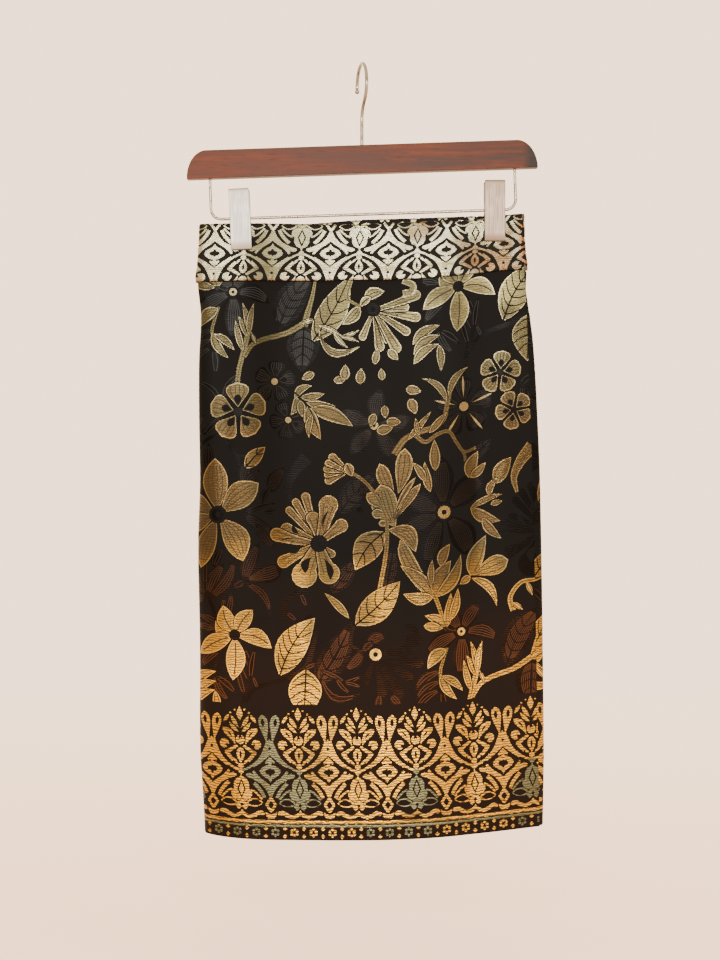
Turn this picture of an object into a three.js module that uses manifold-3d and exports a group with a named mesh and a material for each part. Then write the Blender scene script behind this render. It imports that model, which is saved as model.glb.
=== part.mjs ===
// An instant sampin, a short wrapped skirt of brocade, held by the two clips of a wooden hanger.
// Millimetres. +X is to the right as seen from the front, +Y runs away from the viewer and +Z is up.
// The origin is the inside top of the hook's crook, where a rail bears.

import * as THREE from "three";
import { mergeVertices } from "three/addons/utils/BufferGeometryUtils.js";
import Module from "manifold-3d";

const wasm = await Module();
wasm.setup();

// Cloth
const waistHeight = -163; // height that every drop below is measured from
const clothWall = 1.2;
const underBandWall = 1.6; // the waist tuck where it lies flat under the front one
const lapGap = 0.5; // air between the over front and the lap under it
const seamGap = 0.3;
const turnCount = 5; // stations of the under lap's half of the right fold
const seamInset = 16; // how far behind each side fold the back panel starts
const sideReach = 48; // how far across from a side fold the stations lie closer
const lapReach = 96; // how far the under lap goes in from the right fold
const tuckUnder = 9.5; // how far a panel reaches up behind the lower lip of the band
const bandEnd = 165.4; // where the front band is cut off at its right end
const bandLapStart = 144; // where the under band starts, behind the end of the front one
const lipTurn = 3; // stations of the right fold over which the under band's lip comes out
const underBandSink = 0.1; // how far a stretch without a lip lies under the panel's own face
const panelHeights = { top: -215, foot: -790 }; // nominal heights that place a panel's edges
const bandHeight = -190; // and a band's

// Down the garment: where the side folds reach and how far across each side turns; how far the front
// stands out beside the left fold, half-way across and beside the right fold; how far the back stands
// out half-way across; and the free edge of the over front.
const sectionColumns = [
  "drop", "left", "right", "turnLeft", "turnRight", "outLeft", "front", "outRight", "back", "free",
];
const sections = [
  [0, -166.3, 168.5, 4, 3, 3.6, 5.4, 4.1, 4.6, 166.4],
  [50, -168.4, 170.6, 5, 3.2, 4.0, 7.0, 4.2, 5.6, 167.6],
  [66, -168.0, 170.2, 6, 3.4, 4.4, 7.8, 4.3, 6.0, 168.2],
  [97, -165.0, 174.6, 8, 4, 5.2, 9.2, 4.6, 6.6, 170.0],
  [140, -166.9, 179.0, 10, 5, 6.4, 11.0, 5.0, 7.6, 171.6],
  [200, -166.9, 182.2, 14, 6, 8.2, 13.0, 5.6, 8.8, 173.6],
  [264, -166.0, 184.6, 18, 7, 10.2, 15.2, 6.2, 10.0, 175.8],
  [330, -167.9, 186.0, 23, 8, 12.4, 17.4, 6.8, 11.0, 177.4],
  [430, -166.0, 187.5, 30, 9, 15.4, 20.4, 7.6, 12.4, 179.6],
  [540, -165.6, 188.5, 38, 10, 18.4, 23.0, 8.4, 13.6, 181.4],
  [600, -162.0, 187.8, 43, 11, 20.2, 24.2, 9.0, 14.0, 182.6],
  [640, -160.2, 187.0, 46, 12, 21.2, 24.8, 9.4, 14.2, 183.2],
].map((row) => Object.fromEntries(row.map((value, i) => [sectionColumns[i], value])));

// Across the garment: heights of the front and back top edges, of the foot of the band and of the hem.
const levels = [
  { x: -170, frontTop: -163.5, backTop: -163.7, foot: -224.0, hem: -788.6 },
  { x: -112, frontTop: -162.7, backTop: -163.3, foot: -222.3, hem: -792.6 },
  { x: -62, frontTop: -163.7, backTop: -163.0, foot: -223.2, hem: -793.4 },
  { x: -2, frontTop: -164.4, backTop: -158.4, foot: -222.0, hem: -794.0 },
  { x: 28, frontTop: -162.7, backTop: -157.4, foot: -221.9, hem: -793.6 },
  { x: 80, frontTop: -160.8, backTop: -155.8, foot: -219.0, hem: -791.2 },
  { x: 116, frontTop: -159.6, backTop: -154.6, foot: -215.2, hem: -788.4 },
  { x: 146, frontTop: -154.6, backTop: -154.2, foot: -212.0, hem: -785.6 },
  { x: 190, frontTop: -151.4, backTop: -151.4, foot: -211.0, hem: -781.2 },
];

// The largest soft folds: a ridge stands out and a trough has a negative depth. Each runs from its
// place at the top of its span to its place at the bottom, and dies away at both ends.
const folds = [
  { side: "front", topX: -126, footX: -104, width: 20, depth: -2.4, from: -90, to: 400 },
  { side: "front", topX: -88, footX: -58, width: 24, depth: 2.2, from: 40, to: 520 },
  { side: "front", topX: -20, footX: 6, width: 30, depth: -2.0, from: 120, to: 760 },
  { side: "front", topX: 66, footX: 72, width: 28, depth: 2.4, from: 60, to: 700 },
  { side: "front", topX: 132, footX: 118, width: 20, depth: -2.0, from: -90, to: 460 },
  { side: "back", topX: -126, footX: -112, width: 20, depth: -1.4, from: -90, to: 380 },
  { side: "back", topX: -52, footX: -70, width: 30, depth: 1.8, from: 80, to: 700 },
  { side: "back", topX: 24, footX: 20, width: 28, depth: -1.8, from: 140, to: 760 },
  { side: "back", topX: 96, footX: 82, width: 26, depth: 1.6, from: 60, to: 560 },
  { side: "back", topX: 132, footX: 138, width: 20, depth: -1.2, from: -90, to: 420 },
];

// The waist tuck in profile, from its foot up: how far its outer and inner faces stand out from the
// panel's outer face. share is a share of the band's height, and up is a height above its foot.
const bandProfile = [
  { up: 0, share: 0, outer: 1.8, inner: 1.0 },
  { up: 1.2, share: 0, outer: 2.7, inner: 0.5 },
  { up: 4.5, share: 0, outer: 2.9, inner: 0.4 },
  { up: 10.6, share: 0, outer: 2.4, inner: 0.4 },
  { up: 16, share: 0, outer: 0.9, inner: -1.1 },
  { up: 0, share: 0.45, outer: 0.6, inner: -1.4 },
  { up: 0, share: 0.72, outer: 0.5, inner: -1.5 },
  { up: -1.2, share: 1, outer: 0.4, inner: -1.5 },
  { up: 0, share: 1, outer: -0.2, inner: -1.0 },
];

// Hanger
const barLength = 361;
const barHeight = 29;
const barDepth = 13;
const barShoulder = 21; // length of the rounded end on top
const barEdge = 1.6;
const barMiddle = { x: 0.9, z: -97.3 };
const hangerTilt = THREE.MathUtils.degToRad(1.9); // the right end hangs high
const wireRadius = 1.5;
const wireHalfSpan = 157;
const wireDrop = 56.1; // from the middle of the bar to the middle of the wire's level run
const wireCorner = 10.5;
const hookWireRadius = 1.8;
const wireSides = 8;
const crookRadius = 20; // inside
const crookTurn = THREE.MathUtils.degToRad(13); // how far the hook is swivelled from square to the bar
const crookFrom = THREE.MathUtils.degToRad(-52); // the crook's arc starts on the far side
const crookTo = THREE.MathUtils.degToRad(188); // and ends just below level on the near side
const shankTop = -56;
const swingHandles = { shank: 9, crook: 8 }; // how far the swing out runs on at each of its ends
const tipBall = 2.5; // radius of the ball on the hook's tip
const socketDepth = 12;
const fitGap = 0.3;

// Clips
const plateWidth = 21;
const plateWall = 1.2;
const plateRise = 29.5; // above the wire
const plateDrop = 33; // below the wire
const plateStand = 7.9; // from the wire to the middle of the plate's thickness
const plateLean = 2.3; // how much further out the plate's upper end stands
const jawLip = 3.2;
const jawBend = 1.2; // height of the bend between the jaw and the plate
const bendDrop = 22; // how far below the wire the plate starts to bend in
const rimBend = { height: 3.4, inward: 1.5 }; // the plate's upper rim, rolled back
const jawSearch = { beside: 1, below: 3, above: 6, step: 1 }; // cloth looked at under a jaw
const jawGap = 0.6; // clear of the flat facets that stand in for a hollow in the cloth
const earRadius = 4.2;
const earHole = 2.3;
const earArc = { from: THREE.MathUtils.degToRad(100), to: THREE.MathUtils.degToRad(260) };
const earRise = 9; // how far above the wire an ear meets its plate
const earFall = 5; // and how far below, which keeps it clear of the cloth's top edge
const springLength = 12;
const springOuter = 3.7;
const springInner = 2.2;
const springChamfer = 0.5;
const clips = [
  { name: "clip_left", along: -127, lean: 1.0 },
  { name: "clip_right", along: 134.8, lean: -2.0 },
];

const brocade = new THREE.MeshStandardMaterial({ color: 0x2e2a26, roughness: 0.55, metalness: 0.1 });
const bandCloth = new THREE.MeshStandardMaterial({ color: 0xb9b09a, roughness: 0.45, metalness: 0.3 });
const walnut = new THREE.MeshStandardMaterial({ color: 0x74493a, roughness: 0.5 });
const steel = new THREE.MeshStandardMaterial({ color: 0xc9c5be, roughness: 0.25, metalness: 1 });
const plateSteel = new THREE.MeshStandardMaterial({ color: 0xd3d0ca, roughness: 0.4, metalness: 0.9 });

// A column of a table at a place between its rows, on a smooth curve through them.
function read(table, key, place, column) {
  const last = table.length - 1;
  const at = THREE.MathUtils.clamp(place, table[0][key], table[last][key]);
  let i = 0;
  while (i < last - 1 && table[i + 1][key] < at) i += 1;
  const slope = (k) => {
    const before = table[Math.max(k - 1, 0)];
    const after = table[Math.min(k + 1, last)];
    return (after[column] - before[column]) / (after[key] - before[key]);
  };
  const a = table[i];
  const b = table[i + 1];
  const span = b[key] - a[key];
  const t = (at - a[key]) / span;
  const t2 = t * t;
  const t3 = t2 * t;
  return (
    (2 * t3 - 3 * t2 + 1) * a[column] +
    (t3 - 2 * t2 + t) * span * slope(i) +
    (3 * t2 - 2 * t3) * b[column] +
    (t3 - t2) * span * slope(i + 1)
  );
}

// A quarter turn of an ellipse: 0 at the fold's edge, 1 where the turn is over.
function turned(share) {
  const q = THREE.MathUtils.clamp(share, 0, 1);
  return Math.sqrt(1 - (1 - q) ** 2);
}

// How far one side of the cloth stands out from the mid plane, before it turns round the right fold.
function depthOf(side, x, drop) {
  const at = (column) => read(sections, "drop", drop, column);
  const left = at("left");
  const right = at("right");
  const u = THREE.MathUtils.clamp((2 * x - left - right) / (right - left), -1, 1);
  const beside = THREE.MathUtils.lerp(at("outLeft"), at("outRight"), (u + 1) / 2);
  const flat = beside + (at("front") - (at("outLeft") + at("outRight")) / 2) * (1 - u * u);
  const share = side === "back" ? at("back") / at("front") : 1;
  const edge = THREE.MathUtils.smoothstep(1 - Math.abs(u), 0, 0.14);
  let depth = flat * share;
  for (const f of folds) {
    if (f.side !== side || drop <= f.from || drop >= f.to) continue;
    const t = (drop - f.from) / (f.to - f.from);
    const centre = THREE.MathUtils.lerp(f.topX, f.footX, t);
    const fade = Math.sin(Math.PI * t) ** 0.8;
    depth += f.depth * fade * edge * Math.exp(-(((x - centre) / f.width) ** 2));
  }
  return depth * turned((x - left) / at("turnLeft"));
}

const leftOf = (drop) => read(sections, "drop", drop, "left");
const rightOf = (drop) => read(sections, "drop", drop, "right");
const freeOf = (drop) => read(sections, "drop", drop, "free");
const lapInset = clothWall + lapGap;

// The faces of the cloth at a place across: the over front lies flat to its free edge, while the under
// lap and the back turn round the right fold.
const faces = {
  over: (x, drop) => -depthOf("front", x, drop),
  lap: (x, drop) => (lapInset - depthOf("front", x, drop)) * rightTurn(x, drop),
  back: (x, drop) => depthOf("back", x, drop) * rightTurn(x, drop),
};

function rightTurn(x, drop) {
  return turned((rightOf(drop) - x) / read(sections, "drop", drop, "turnRight"));
}

// Stations run from one edge of a wall to the other. Each gives a point of the section at any drop, so
// every row of the wall has the same stations. power above 1 crowds them towards the first end.
function run(face, fromX, toX, count, power = 1) {
  return Array.from({ length: count + 1 }, (_, i) => (drop) => {
    const x = THREE.MathUtils.lerp(fromX(drop), toX(drop), (i / count) ** power);
    return { x, y: faces[face](x, drop), face };
  });
}

const leftSeam = (drop) => leftOf(drop) + seamInset;
const rightSeam = (drop) => rightOf(drop) - seamInset;
const leftEnd = (drop) => leftOf(drop) + sideReach;
const rightEnd = (drop) => rightOf(drop) - 0.5 * sideReach;

function overStations(end, frontCount) {
  const behind = run("back", leftOf, (d) => leftSeam(d) - seamGap, 4, 2).slice(1).reverse();
  const turn = run("over", leftOf, leftEnd, 7, 2);
  return [...behind, ...turn, ...run("over", leftEnd, end, frontCount).slice(1)];
}

function underStations(start, frontCount) {
  const turn = run("lap", rightOf, rightEnd, turnCount, 2).slice(1).reverse();
  const behind = run("back", rightOf, (d) => rightSeam(d) + seamGap, 4, 2);
  return [...run("lap", start, rightEnd, frontCount).slice(0, -1), ...turn, ...behind];
}

function backStations(count) {
  return run("back", rightSeam, leftSeam, count);
}

// One row of a section moved out from the panel's outer face, square to the cloth.
function movedOut(row, offset) {
  return row.map((p, i) => {
    const before = row[Math.max(i - 1, 0)];
    const after = row[Math.min(i + 1, row.length - 1)];
    const tangent = new THREE.Vector2(after.x - before.x, after.y - before.y).normalize();
    const out = typeof offset === "function" ? offset(i) : offset;
    return new THREE.Vector3(p.x + tangent.y * out, p.y - tangent.x * out, p.z);
  });
}

// A closed wall between two grids of points, rows of equal length.
function wall(outer, inner) {
  const rows = outer.length;
  const columns = outer[0].length;
  const points = [...outer.flat(), ...inner.flat()];
  const at = (layer, r, c) => layer * rows * columns + r * columns + c;
  const triangles = [];
  const quad = (a, b, c, d) => triangles.push(a, b, c, a, c, d);
  for (let r = 0; r < rows - 1; r += 1) {
    for (let c = 0; c < columns - 1; c += 1) {
      quad(at(0, r, c), at(0, r + 1, c), at(0, r + 1, c + 1), at(0, r, c + 1));
      quad(at(1, r, c), at(1, r, c + 1), at(1, r + 1, c + 1), at(1, r + 1, c));
    }
    quad(at(0, r, 0), at(1, r, 0), at(1, r + 1, 0), at(0, r + 1, 0));
    const end = columns - 1;
    quad(at(0, r, end), at(0, r + 1, end), at(1, r + 1, end), at(1, r, end));
  }
  for (let c = 0; c < columns - 1; c += 1) {
    quad(at(0, 0, c), at(0, 0, c + 1), at(1, 0, c + 1), at(1, 0, c));
    const foot = rows - 1;
    quad(at(0, foot, c), at(1, foot, c), at(1, foot, c + 1), at(0, foot, c + 1));
  }
  const geometry = new THREE.BufferGeometry();
  const coordinates = points.flatMap((p) => [p.x, p.y, p.z]);
  geometry.setAttribute("position", new THREE.Float32BufferAttribute(coordinates, 3));
  geometry.setIndex(triangles);
  geometry.computeVertexNormals();
  return geometry;
}

// A panel hangs from behind the band's lip, or from the band's foot where there is no lip, down to the hem.
function panel(stations, rowCount, topRise) {
  const outer = [];
  for (let r = 0; r <= rowCount; r += 1) {
    const share = r / rowCount;
    const row = stations.map((station, i) => {
      const nominal = waistHeight - THREE.MathUtils.lerp(panelHeights.top, panelHeights.foot, share);
      const place = station(nominal);
      const top = read(levels, "x", place.x, "foot") + topRise(i);
      const z = THREE.MathUtils.lerp(top, read(levels, "x", place.x, "hem"), share);
      return { x: place.x, y: station(waistHeight - z).y, z };
    });
    outer.push(row);
  }
  return wall(outer.map((row) => movedOut(row, 0)), outer.map((row) => movedOut(row, -clothWall)));
}

// A stretch of the waist tuck. lip says how much of the lower lip each station has.
function band(stations, lip) {
  const rows = bandProfile.map((level) => {
    const row = stations.map((station) => {
      const place = station(waistHeight - bandHeight);
      const foot = read(levels, "x", place.x, "foot");
      const frontTop = read(levels, "x", place.x, "frontTop");
      const backTop = read(levels, "x", place.x, "backTop");
      const top = place.face === "back" ? backTop : frontTop;
      const z = foot + level.share * (top - foot) + level.up;
      const atHeight = station(waistHeight - z);
      return { x: atHeight.x, y: atHeight.y, z };
    });
    const offset = (face, plain) => (i) => THREE.MathUtils.lerp(plain, level[face], lip(i));
    return {
      outer: movedOut(row, offset("outer", -underBandSink)),
      inner: movedOut(row, offset("inner", -underBandSink - underBandWall)),
    };
  });
  const down = rows.reverse();
  return wall(down.map((r) => r.outer), down.map((r) => r.inner));
}

const solidOf = (geometry) => {
  const bare = geometry.clone();
  bare.deleteAttribute("normal");
  bare.deleteAttribute("uv");
  const merged = mergeVertices(bare, 1e-3);
  const vertProperties = new Float32Array(merged.attributes.position.array);
  const triVerts = new Uint32Array(merged.index.array);
  return new wasm.Manifold(new wasm.Mesh({ numProp: 3, vertProperties, triVerts }));
};

const geometryOf = (solid) => {
  const mesh = solid.getMesh();
  const geometry = new THREE.BufferGeometry();
  const positions = new Float32Array(mesh.vertProperties);
  geometry.setAttribute("position", new THREE.BufferAttribute(positions, mesh.numProp));
  geometry.setIndex(new THREE.BufferAttribute(new Uint32Array(mesh.triVerts), 1));
  geometry.computeVertexNormals();
  return geometry;
};

// A circle as an outline of straight sides, each point once.
function circle(radius, sides) {
  return Array.from({ length: sides }, (_, i) => {
    const angle = (2 * Math.PI * i) / sides;
    return new THREE.Vector2(radius * Math.cos(angle), radius * Math.sin(angle));
  });
}

const pin = (radius, length) => new THREE.CylinderGeometry(radius, radius, length, 16);

// The turned bar: level foot, level top and a rounded shoulder at each end, with sockets for the wires.
function barGeometry() {
  const half = barLength / 2;
  const low = -barHeight / 2;
  const high = barHeight / 2;
  const outline = new THREE.Shape();
  outline.moveTo(-half, low);
  outline.lineTo(half, low);
  outline.absellipse(half - barShoulder, low, barShoulder, barHeight, 0, Math.PI / 2, false);
  outline.lineTo(-half + barShoulder, high);
  outline.absellipse(-half + barShoulder, low, barShoulder, barHeight, Math.PI / 2, Math.PI, false);
  const slab = new THREE.ExtrudeGeometry(outline, {
    depth: barDepth - 2 * barEdge,
    bevelThickness: barEdge,
    bevelSize: barEdge,
    bevelOffset: -barEdge,
    bevelSegments: 3,
    curveSegments: 10,
  });
  slab.rotateX(Math.PI / 2);
  slab.translate(0, barDepth / 2 - barEdge, 0);
  let solid = solidOf(slab);
  for (const side of [-1, 1]) {
    const socket = pin(wireRadius + fitGap, 2 * (socketDepth + fitGap)).rotateX(Math.PI / 2);
    solid = solid.subtract(solidOf(socket.translate(side * wireHalfSpan, 0, low)));
  }
  const shankSocket = pin(hookWireRadius + fitGap, 2 * (socketDepth + fitGap)).rotateX(Math.PI / 2);
  shankSocket.rotateY(hangerTilt).translate(high * Math.tan(hangerTilt), 0, high);
  return geometryOf(solid.subtract(solidOf(shankSocket)));
}

// Round wire along points, through which it runs on a smooth curve.
function wireGeometry(points, radius, steps) {
  const path = new THREE.CatmullRomCurve3(points, false, "centripetal");
  path.arcLengthDivisions = 1200;
  const section = new THREE.Shape(circle(radius, wireSides));
  return new THREE.ExtrudeGeometry(section, { steps, extrudePath: path, bevelEnabled: false });
}

// The hook: a plumb shank, a swing out to the crook, the crook over the rail and a small ball at its tip.
function hookGeometry() {
  const radius = crookRadius + hookWireRadius;
  const middle = -crookRadius;
  const bottom = barMiddle.z + barHeight / 2 - socketDepth;
  const inPlane = (across, z) => {
    const x = barMiddle.x + across * Math.sin(crookTurn);
    return new THREE.Vector3(x, -across * Math.cos(crookTurn), z);
  };
  const onArc = (angle) => new THREE.Vector2(radius * Math.cos(angle), middle + radius * Math.sin(angle));
  const join = onArc(crookFrom);
  const backwards = new THREE.Vector2(Math.sin(crookFrom), -Math.cos(crookFrom));
  const swing = new THREE.CubicBezierCurve(
    new THREE.Vector2(0, shankTop),
    new THREE.Vector2(0, shankTop + swingHandles.shank),
    join.clone().addScaledVector(backwards, swingHandles.crook),
    join,
  );
  const points = [inPlane(0, bottom), inPlane(0, (bottom + shankTop) / 2)];
  for (const p of swing.getPoints(8)) points.push(inPlane(p.x, p.y));
  const turns = 20;
  for (let i = 1; i <= turns; i += 1) {
    const p = onArc(THREE.MathUtils.lerp(crookFrom, crookTo, i / turns));
    points.push(inPlane(p.x, p.y));
  }
  const wire = solidOf(wireGeometry(points, hookWireRadius, 64));
  const ball = new THREE.SphereGeometry(tipBall, 12, 8);
  ball.translate(...points[points.length - 1].toArray());
  return geometryOf(wire.add(solidOf(ball)));
}

// The U of wire under the bar, in the bar's own frame.
function trouserWireGeometry() {
  const top = -barHeight / 2 + socketDepth;
  const points = [];
  const corner = (side) => {
    const steps = 5;
    return Array.from({ length: steps + 1 }, (_, i) => {
      const angle = (Math.PI / 2) * (i / steps);
      const x = side * (wireHalfSpan - wireCorner + wireCorner * Math.cos(angle));
      return new THREE.Vector3(x, 0, -wireDrop + wireCorner - wireCorner * Math.sin(angle));
    });
  };
  const leg = (side) => [top, -wireDrop / 2].map((z) => new THREE.Vector3(side * wireHalfSpan, 0, z));
  points.push(...leg(-1), ...corner(-1));
  const rest = 0.57 * wireHalfSpan;
  for (const x of [-rest, 0, rest]) points.push(new THREE.Vector3(x, 0, -wireDrop));
  points.push(...corner(1).reverse(), ...leg(1).reverse());
  return wireGeometry(points, wireRadius, 100);
}

// A bent sheet's outline from its middle line, given as [stand, z] pairs.
function bentSheet(line) {
  const pointsOn = (side) =>
    line.map(([stand, z], i) => {
      const before = line[Math.max(i - 1, 0)];
      const after = line[Math.min(i + 1, line.length - 1)];
      const tangent = new THREE.Vector2(after[0] - before[0], after[1] - before[1]).normalize();
      const step = (side * plateWall) / 2;
      return new THREE.Vector2(stand + tangent.y * step, z - tangent.x * step);
    });
  return new THREE.Shape([...pointsOn(1), ...pointsOn(-1).reverse()]);
}

// A clip's plate, standing out along +Y of its own frame, with the wire along X at the origin.
function plateGeometry(jaw, earX) {
  const stand = (z) => plateStand + (plateLean * z) / plateRise;
  const low = -plateDrop + plateWall / 2;
  const sheet = new THREE.ExtrudeGeometry(
    bentSheet([
      [jaw, low],
      [jaw + jawLip * 0.7, low],
      [jaw + jawLip, low + jawBend],
      [Math.max(stand(-bendDrop), jaw + jawLip), -bendDrop],
      [stand(0), 0],
      [stand(plateRise - rimBend.height), plateRise - rimBend.height],
      [stand(plateRise) - rimBend.inward, plateRise],
    ]),
    { depth: plateWidth, bevelEnabled: false },
  );
  sheet.translate(0, 0, -plateWidth / 2);
  const ear = new THREE.Shape();
  ear.moveTo(stand(-earFall), -earFall);
  ear.lineTo(stand(earRise), earRise);
  ear.absarc(0, 0, earRadius, earArc.from, earArc.to, false);
  ear.holes.push(new THREE.Path(circle(earHole, 16)));
  let solid = solidOf(sheet);
  for (const side of [-1, 1]) {
    const lug = new THREE.ExtrudeGeometry(ear, { depth: plateWall, curveSegments: 8, bevelEnabled: false });
    lug.translate(0, 0, side * earX - plateWall / 2);
    solid = solid.add(solidOf(lug));
  }
  // The sheet is drawn with its stand along X and its width along Z: turn it to stand along +Y.
  const turn = new THREE.Matrix4().makeBasis(
    new THREE.Vector3(0, 1, 0),
    new THREE.Vector3(0, 0, 1),
    new THREE.Vector3(1, 0, 0),
  );
  return geometryOf(solid).applyMatrix4(turn);
}

function springGeometry() {
  const half = springLength / 2;
  const chamfer = springChamfer;
  const profile = [
    [springInner, -half],
    [springOuter - chamfer, -half],
    [springOuter, -half + chamfer],
    [springOuter, half - chamfer],
    [springOuter - chamfer, half],
    [springInner, half],
    [springInner, -half],
  ].map(([r, h]) => new THREE.Vector2(r, h));
  return new THREE.LatheGeometry(profile, 16).rotateZ(Math.PI / 2);
}

// The thickest place of the cloth under a clip's jaw, on one side.
function clothUnderJaw(side, jawPlace) {
  let most = 0;
  const reach = plateWidth / 2 + jawSearch.beside;
  for (let dx = -reach; dx <= reach; dx += jawSearch.step) {
    for (let dz = -jawSearch.below; dz <= jawSearch.above; dz += jawSearch.step) {
      const drop = waistHeight - (jawPlace.z + dz);
      most = Math.max(most, depthOf(side, jawPlace.x + dx, drop));
    }
  }
  const aboveLip = bandProfile.filter((level) => level.share > 0);
  return most + Math.max(...aboveLip.map((level) => level.outer));
}

const sampin = new THREE.Group();

function addMesh(parent, name, geometry, material) {
  const mesh = new THREE.Mesh(geometry, material);
  mesh.name = name;
  parent.add(mesh);
  return mesh;
}

const frontCount = 19;
const backCount = 21;
const lapCount = 5;
const bandLapCount = 1;
const rowCount = 21;
const overPanel = overStations(freeOf, frontCount);
const underPanel = underStations((d) => rightOf(d) - lapReach, lapCount);
const underBand = underStations(() => bandLapStart, bandLapCount);
// The under band gets its lip on the turn of the fold, where nothing lies over it,
// and the panel reaches up behind the lip from where the lip is whole.
const lipStart = bandLapCount + turnCount - 2;
const underLip = (i) => THREE.MathUtils.smoothstep(i, lipStart, lipStart + lipTurn);
const lapTopRise = (i) => {
  const behindLip = THREE.MathUtils.smoothstep(i, lapCount + turnCount, lapCount + turnCount + 2);
  return THREE.MathUtils.lerp(-seamGap, tuckUnder, behindLip);
};

addMesh(sampin, "front_panel", panel(overPanel, rowCount, () => tuckUnder), brocade);
addMesh(sampin, "under_panel", panel(underPanel, rowCount, lapTopRise), brocade);
addMesh(sampin, "back_panel", panel(backStations(backCount), rowCount, () => tuckUnder), brocade);
addMesh(sampin, "band_front", band(overStations(() => bandEnd, frontCount), () => 1), bandCloth);
addMesh(sampin, "band_under", band(underBand, underLip), bandCloth);
addMesh(sampin, "band_back", band(backStations(backCount), () => 1), bandCloth);

addMesh(sampin, "hanger_hook", hookGeometry(), steel);

const hanger = new THREE.Group();
hanger.position.set(barMiddle.x, 0, barMiddle.z);
hanger.rotation.y = -hangerTilt;
sampin.add(hanger);
addMesh(hanger, "hanger_bar", barGeometry(), walnut);
addMesh(hanger, "hanger_wire", trouserWireGeometry(), steel);

for (const { name, along, lean } of clips) {
  const clip = new THREE.Group();
  clip.position.set(along, 0, -wireDrop);
  clip.rotation.y = THREE.MathUtils.degToRad(-lean);
  hanger.add(clip);
  sampin.updateMatrixWorld(true);
  const jawPlace = clip.localToWorld(new THREE.Vector3(0, 0, -plateDrop));
  const earInset = (plateWidth - plateWall) / 2;
  const innerEar = earInset - plateWall - fitGap;
  const frontJaw = clothUnderJaw("front", jawPlace) + jawGap;
  const backJaw = clothUnderJaw("back", jawPlace) + jawGap;
  const front = addMesh(clip, `${name}_front`, plateGeometry(frontJaw, earInset), plateSteel);
  front.rotation.z = Math.PI;
  addMesh(clip, `${name}_back`, plateGeometry(backJaw, innerEar), plateSteel);
  addMesh(clip, `${name}_spring`, springGeometry(), steel);
}

export default sampin;
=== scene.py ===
import math

import bmesh
import bpy
import numpy as np
from mathutils import Matrix, Vector
from mathutils.geometry import delaunay_2d_cdt


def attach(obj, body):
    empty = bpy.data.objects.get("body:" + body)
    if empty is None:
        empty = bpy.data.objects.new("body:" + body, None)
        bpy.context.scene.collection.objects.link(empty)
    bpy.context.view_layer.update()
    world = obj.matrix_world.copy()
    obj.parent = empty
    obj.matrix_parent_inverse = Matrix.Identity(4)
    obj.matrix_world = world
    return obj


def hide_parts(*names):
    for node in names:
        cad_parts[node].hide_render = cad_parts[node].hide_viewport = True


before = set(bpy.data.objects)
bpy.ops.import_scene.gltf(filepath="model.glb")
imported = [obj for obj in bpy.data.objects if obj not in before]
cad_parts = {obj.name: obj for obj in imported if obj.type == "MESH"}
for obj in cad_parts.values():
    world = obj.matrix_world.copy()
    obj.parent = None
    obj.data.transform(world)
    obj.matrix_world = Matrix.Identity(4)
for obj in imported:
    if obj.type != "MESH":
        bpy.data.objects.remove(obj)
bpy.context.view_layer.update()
print("stage: frame loaded,", len(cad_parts), "nodes")

mm = 0.001

# camera, level with the middle of the cloth
cameraSetup = {"place": (-0.001, -2.0, -0.427), "aim": (-0.001, 0.0, -0.427), "lens": 72.8}

cameraData = bpy.data.cameras.new("camera")
cameraData.lens = cameraSetup["lens"]
cameraData.clip_end = 40
camera = bpy.data.objects.new("camera", cameraData)
camera.location = cameraSetup["place"]
aim = Vector(cameraSetup["aim"]) - Vector(cameraSetup["place"])
camera.rotation_euler = aim.to_track_quat("-Z", "Y").to_euler()
bpy.context.collection.objects.link(camera)
bpy.context.scene.camera = camera


# nodes: a socket is linked, six hex digits are a colour, and any other value is set as it is
def fill(tree, socket, value):
    if isinstance(value, bpy.types.NodeSocket):
        tree.links.new(value, socket)
    else:
        socket.default_value = (*rgb(value), 1) if isinstance(value, str) else value


def rgb(text):
    parts = [int(text[i:i + 2], 16) / 255 for i in (0, 2, 4)]
    return tuple(c / 12.92 if c <= 0.04045 else ((c + 0.055) / 1.055) ** 2.4 for c in parts)


def addNode(tree, kind, inputs, **settings):
    node = tree.nodes.new(kind)
    for key, value in settings.items():
        setattr(node, key, value)
    for key, value in inputs.items():
        fill(tree, node.inputs[key], value)
    return node


def newMaterial(name):
    material = bpy.data.materials.new(name)
    material.use_nodes = True
    tree = material.node_tree
    return material, tree, addNode(tree, "ShaderNodeTexCoord", {}).outputs["Object"]


def finished(material, inputs):
    tree = material.node_tree
    for key, value in inputs.items():
        fill(tree, tree.nodes["Principled BSDF"].inputs[key], value)
    return material


def rampNode(tree, source, stops):
    node = addNode(tree, "ShaderNodeValToRGB", {"Fac": source})
    elements = node.color_ramp.elements
    while len(elements) < len(stops):
        elements.new(0.5)
    for element, (place, color) in zip(elements, stops):
        element.position = place
        element.color = (*rgb(color), 1)
    return node.outputs["Color"]


def mixColors(tree, factor, a, b):
    return addNode(tree, "ShaderNodeMix", {0: factor, 6: a, 7: b}, data_type="RGBA").outputs[2]


def mathNode(tree, operation, a, b):
    return addNode(tree, "ShaderNodeMath", {0: a, 1: b}, operation=operation).outputs[0]


def plus(tree, a, b):
    return mathNode(tree, "ADD", a, b)


def times(tree, a, b):
    return mathNode(tree, "MULTIPLY", a, b)


def rangeNode(tree, value, low, high, toLow=0.0, toHigh=1.0):
    inputs = {"Value": value, "From Min": low, "From Max": high, "To Min": toLow, "To Max": toHigh}
    return addNode(tree, "ShaderNodeMapRange", inputs).outputs["Result"]


def noiseNode(tree, place, scale, detail, **inputs):
    inputs = {"Vector": place, "Scale": scale, "Detail": detail, **inputs}
    return addNode(tree, "ShaderNodeTexNoise", inputs).outputs["Fac"]


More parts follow.
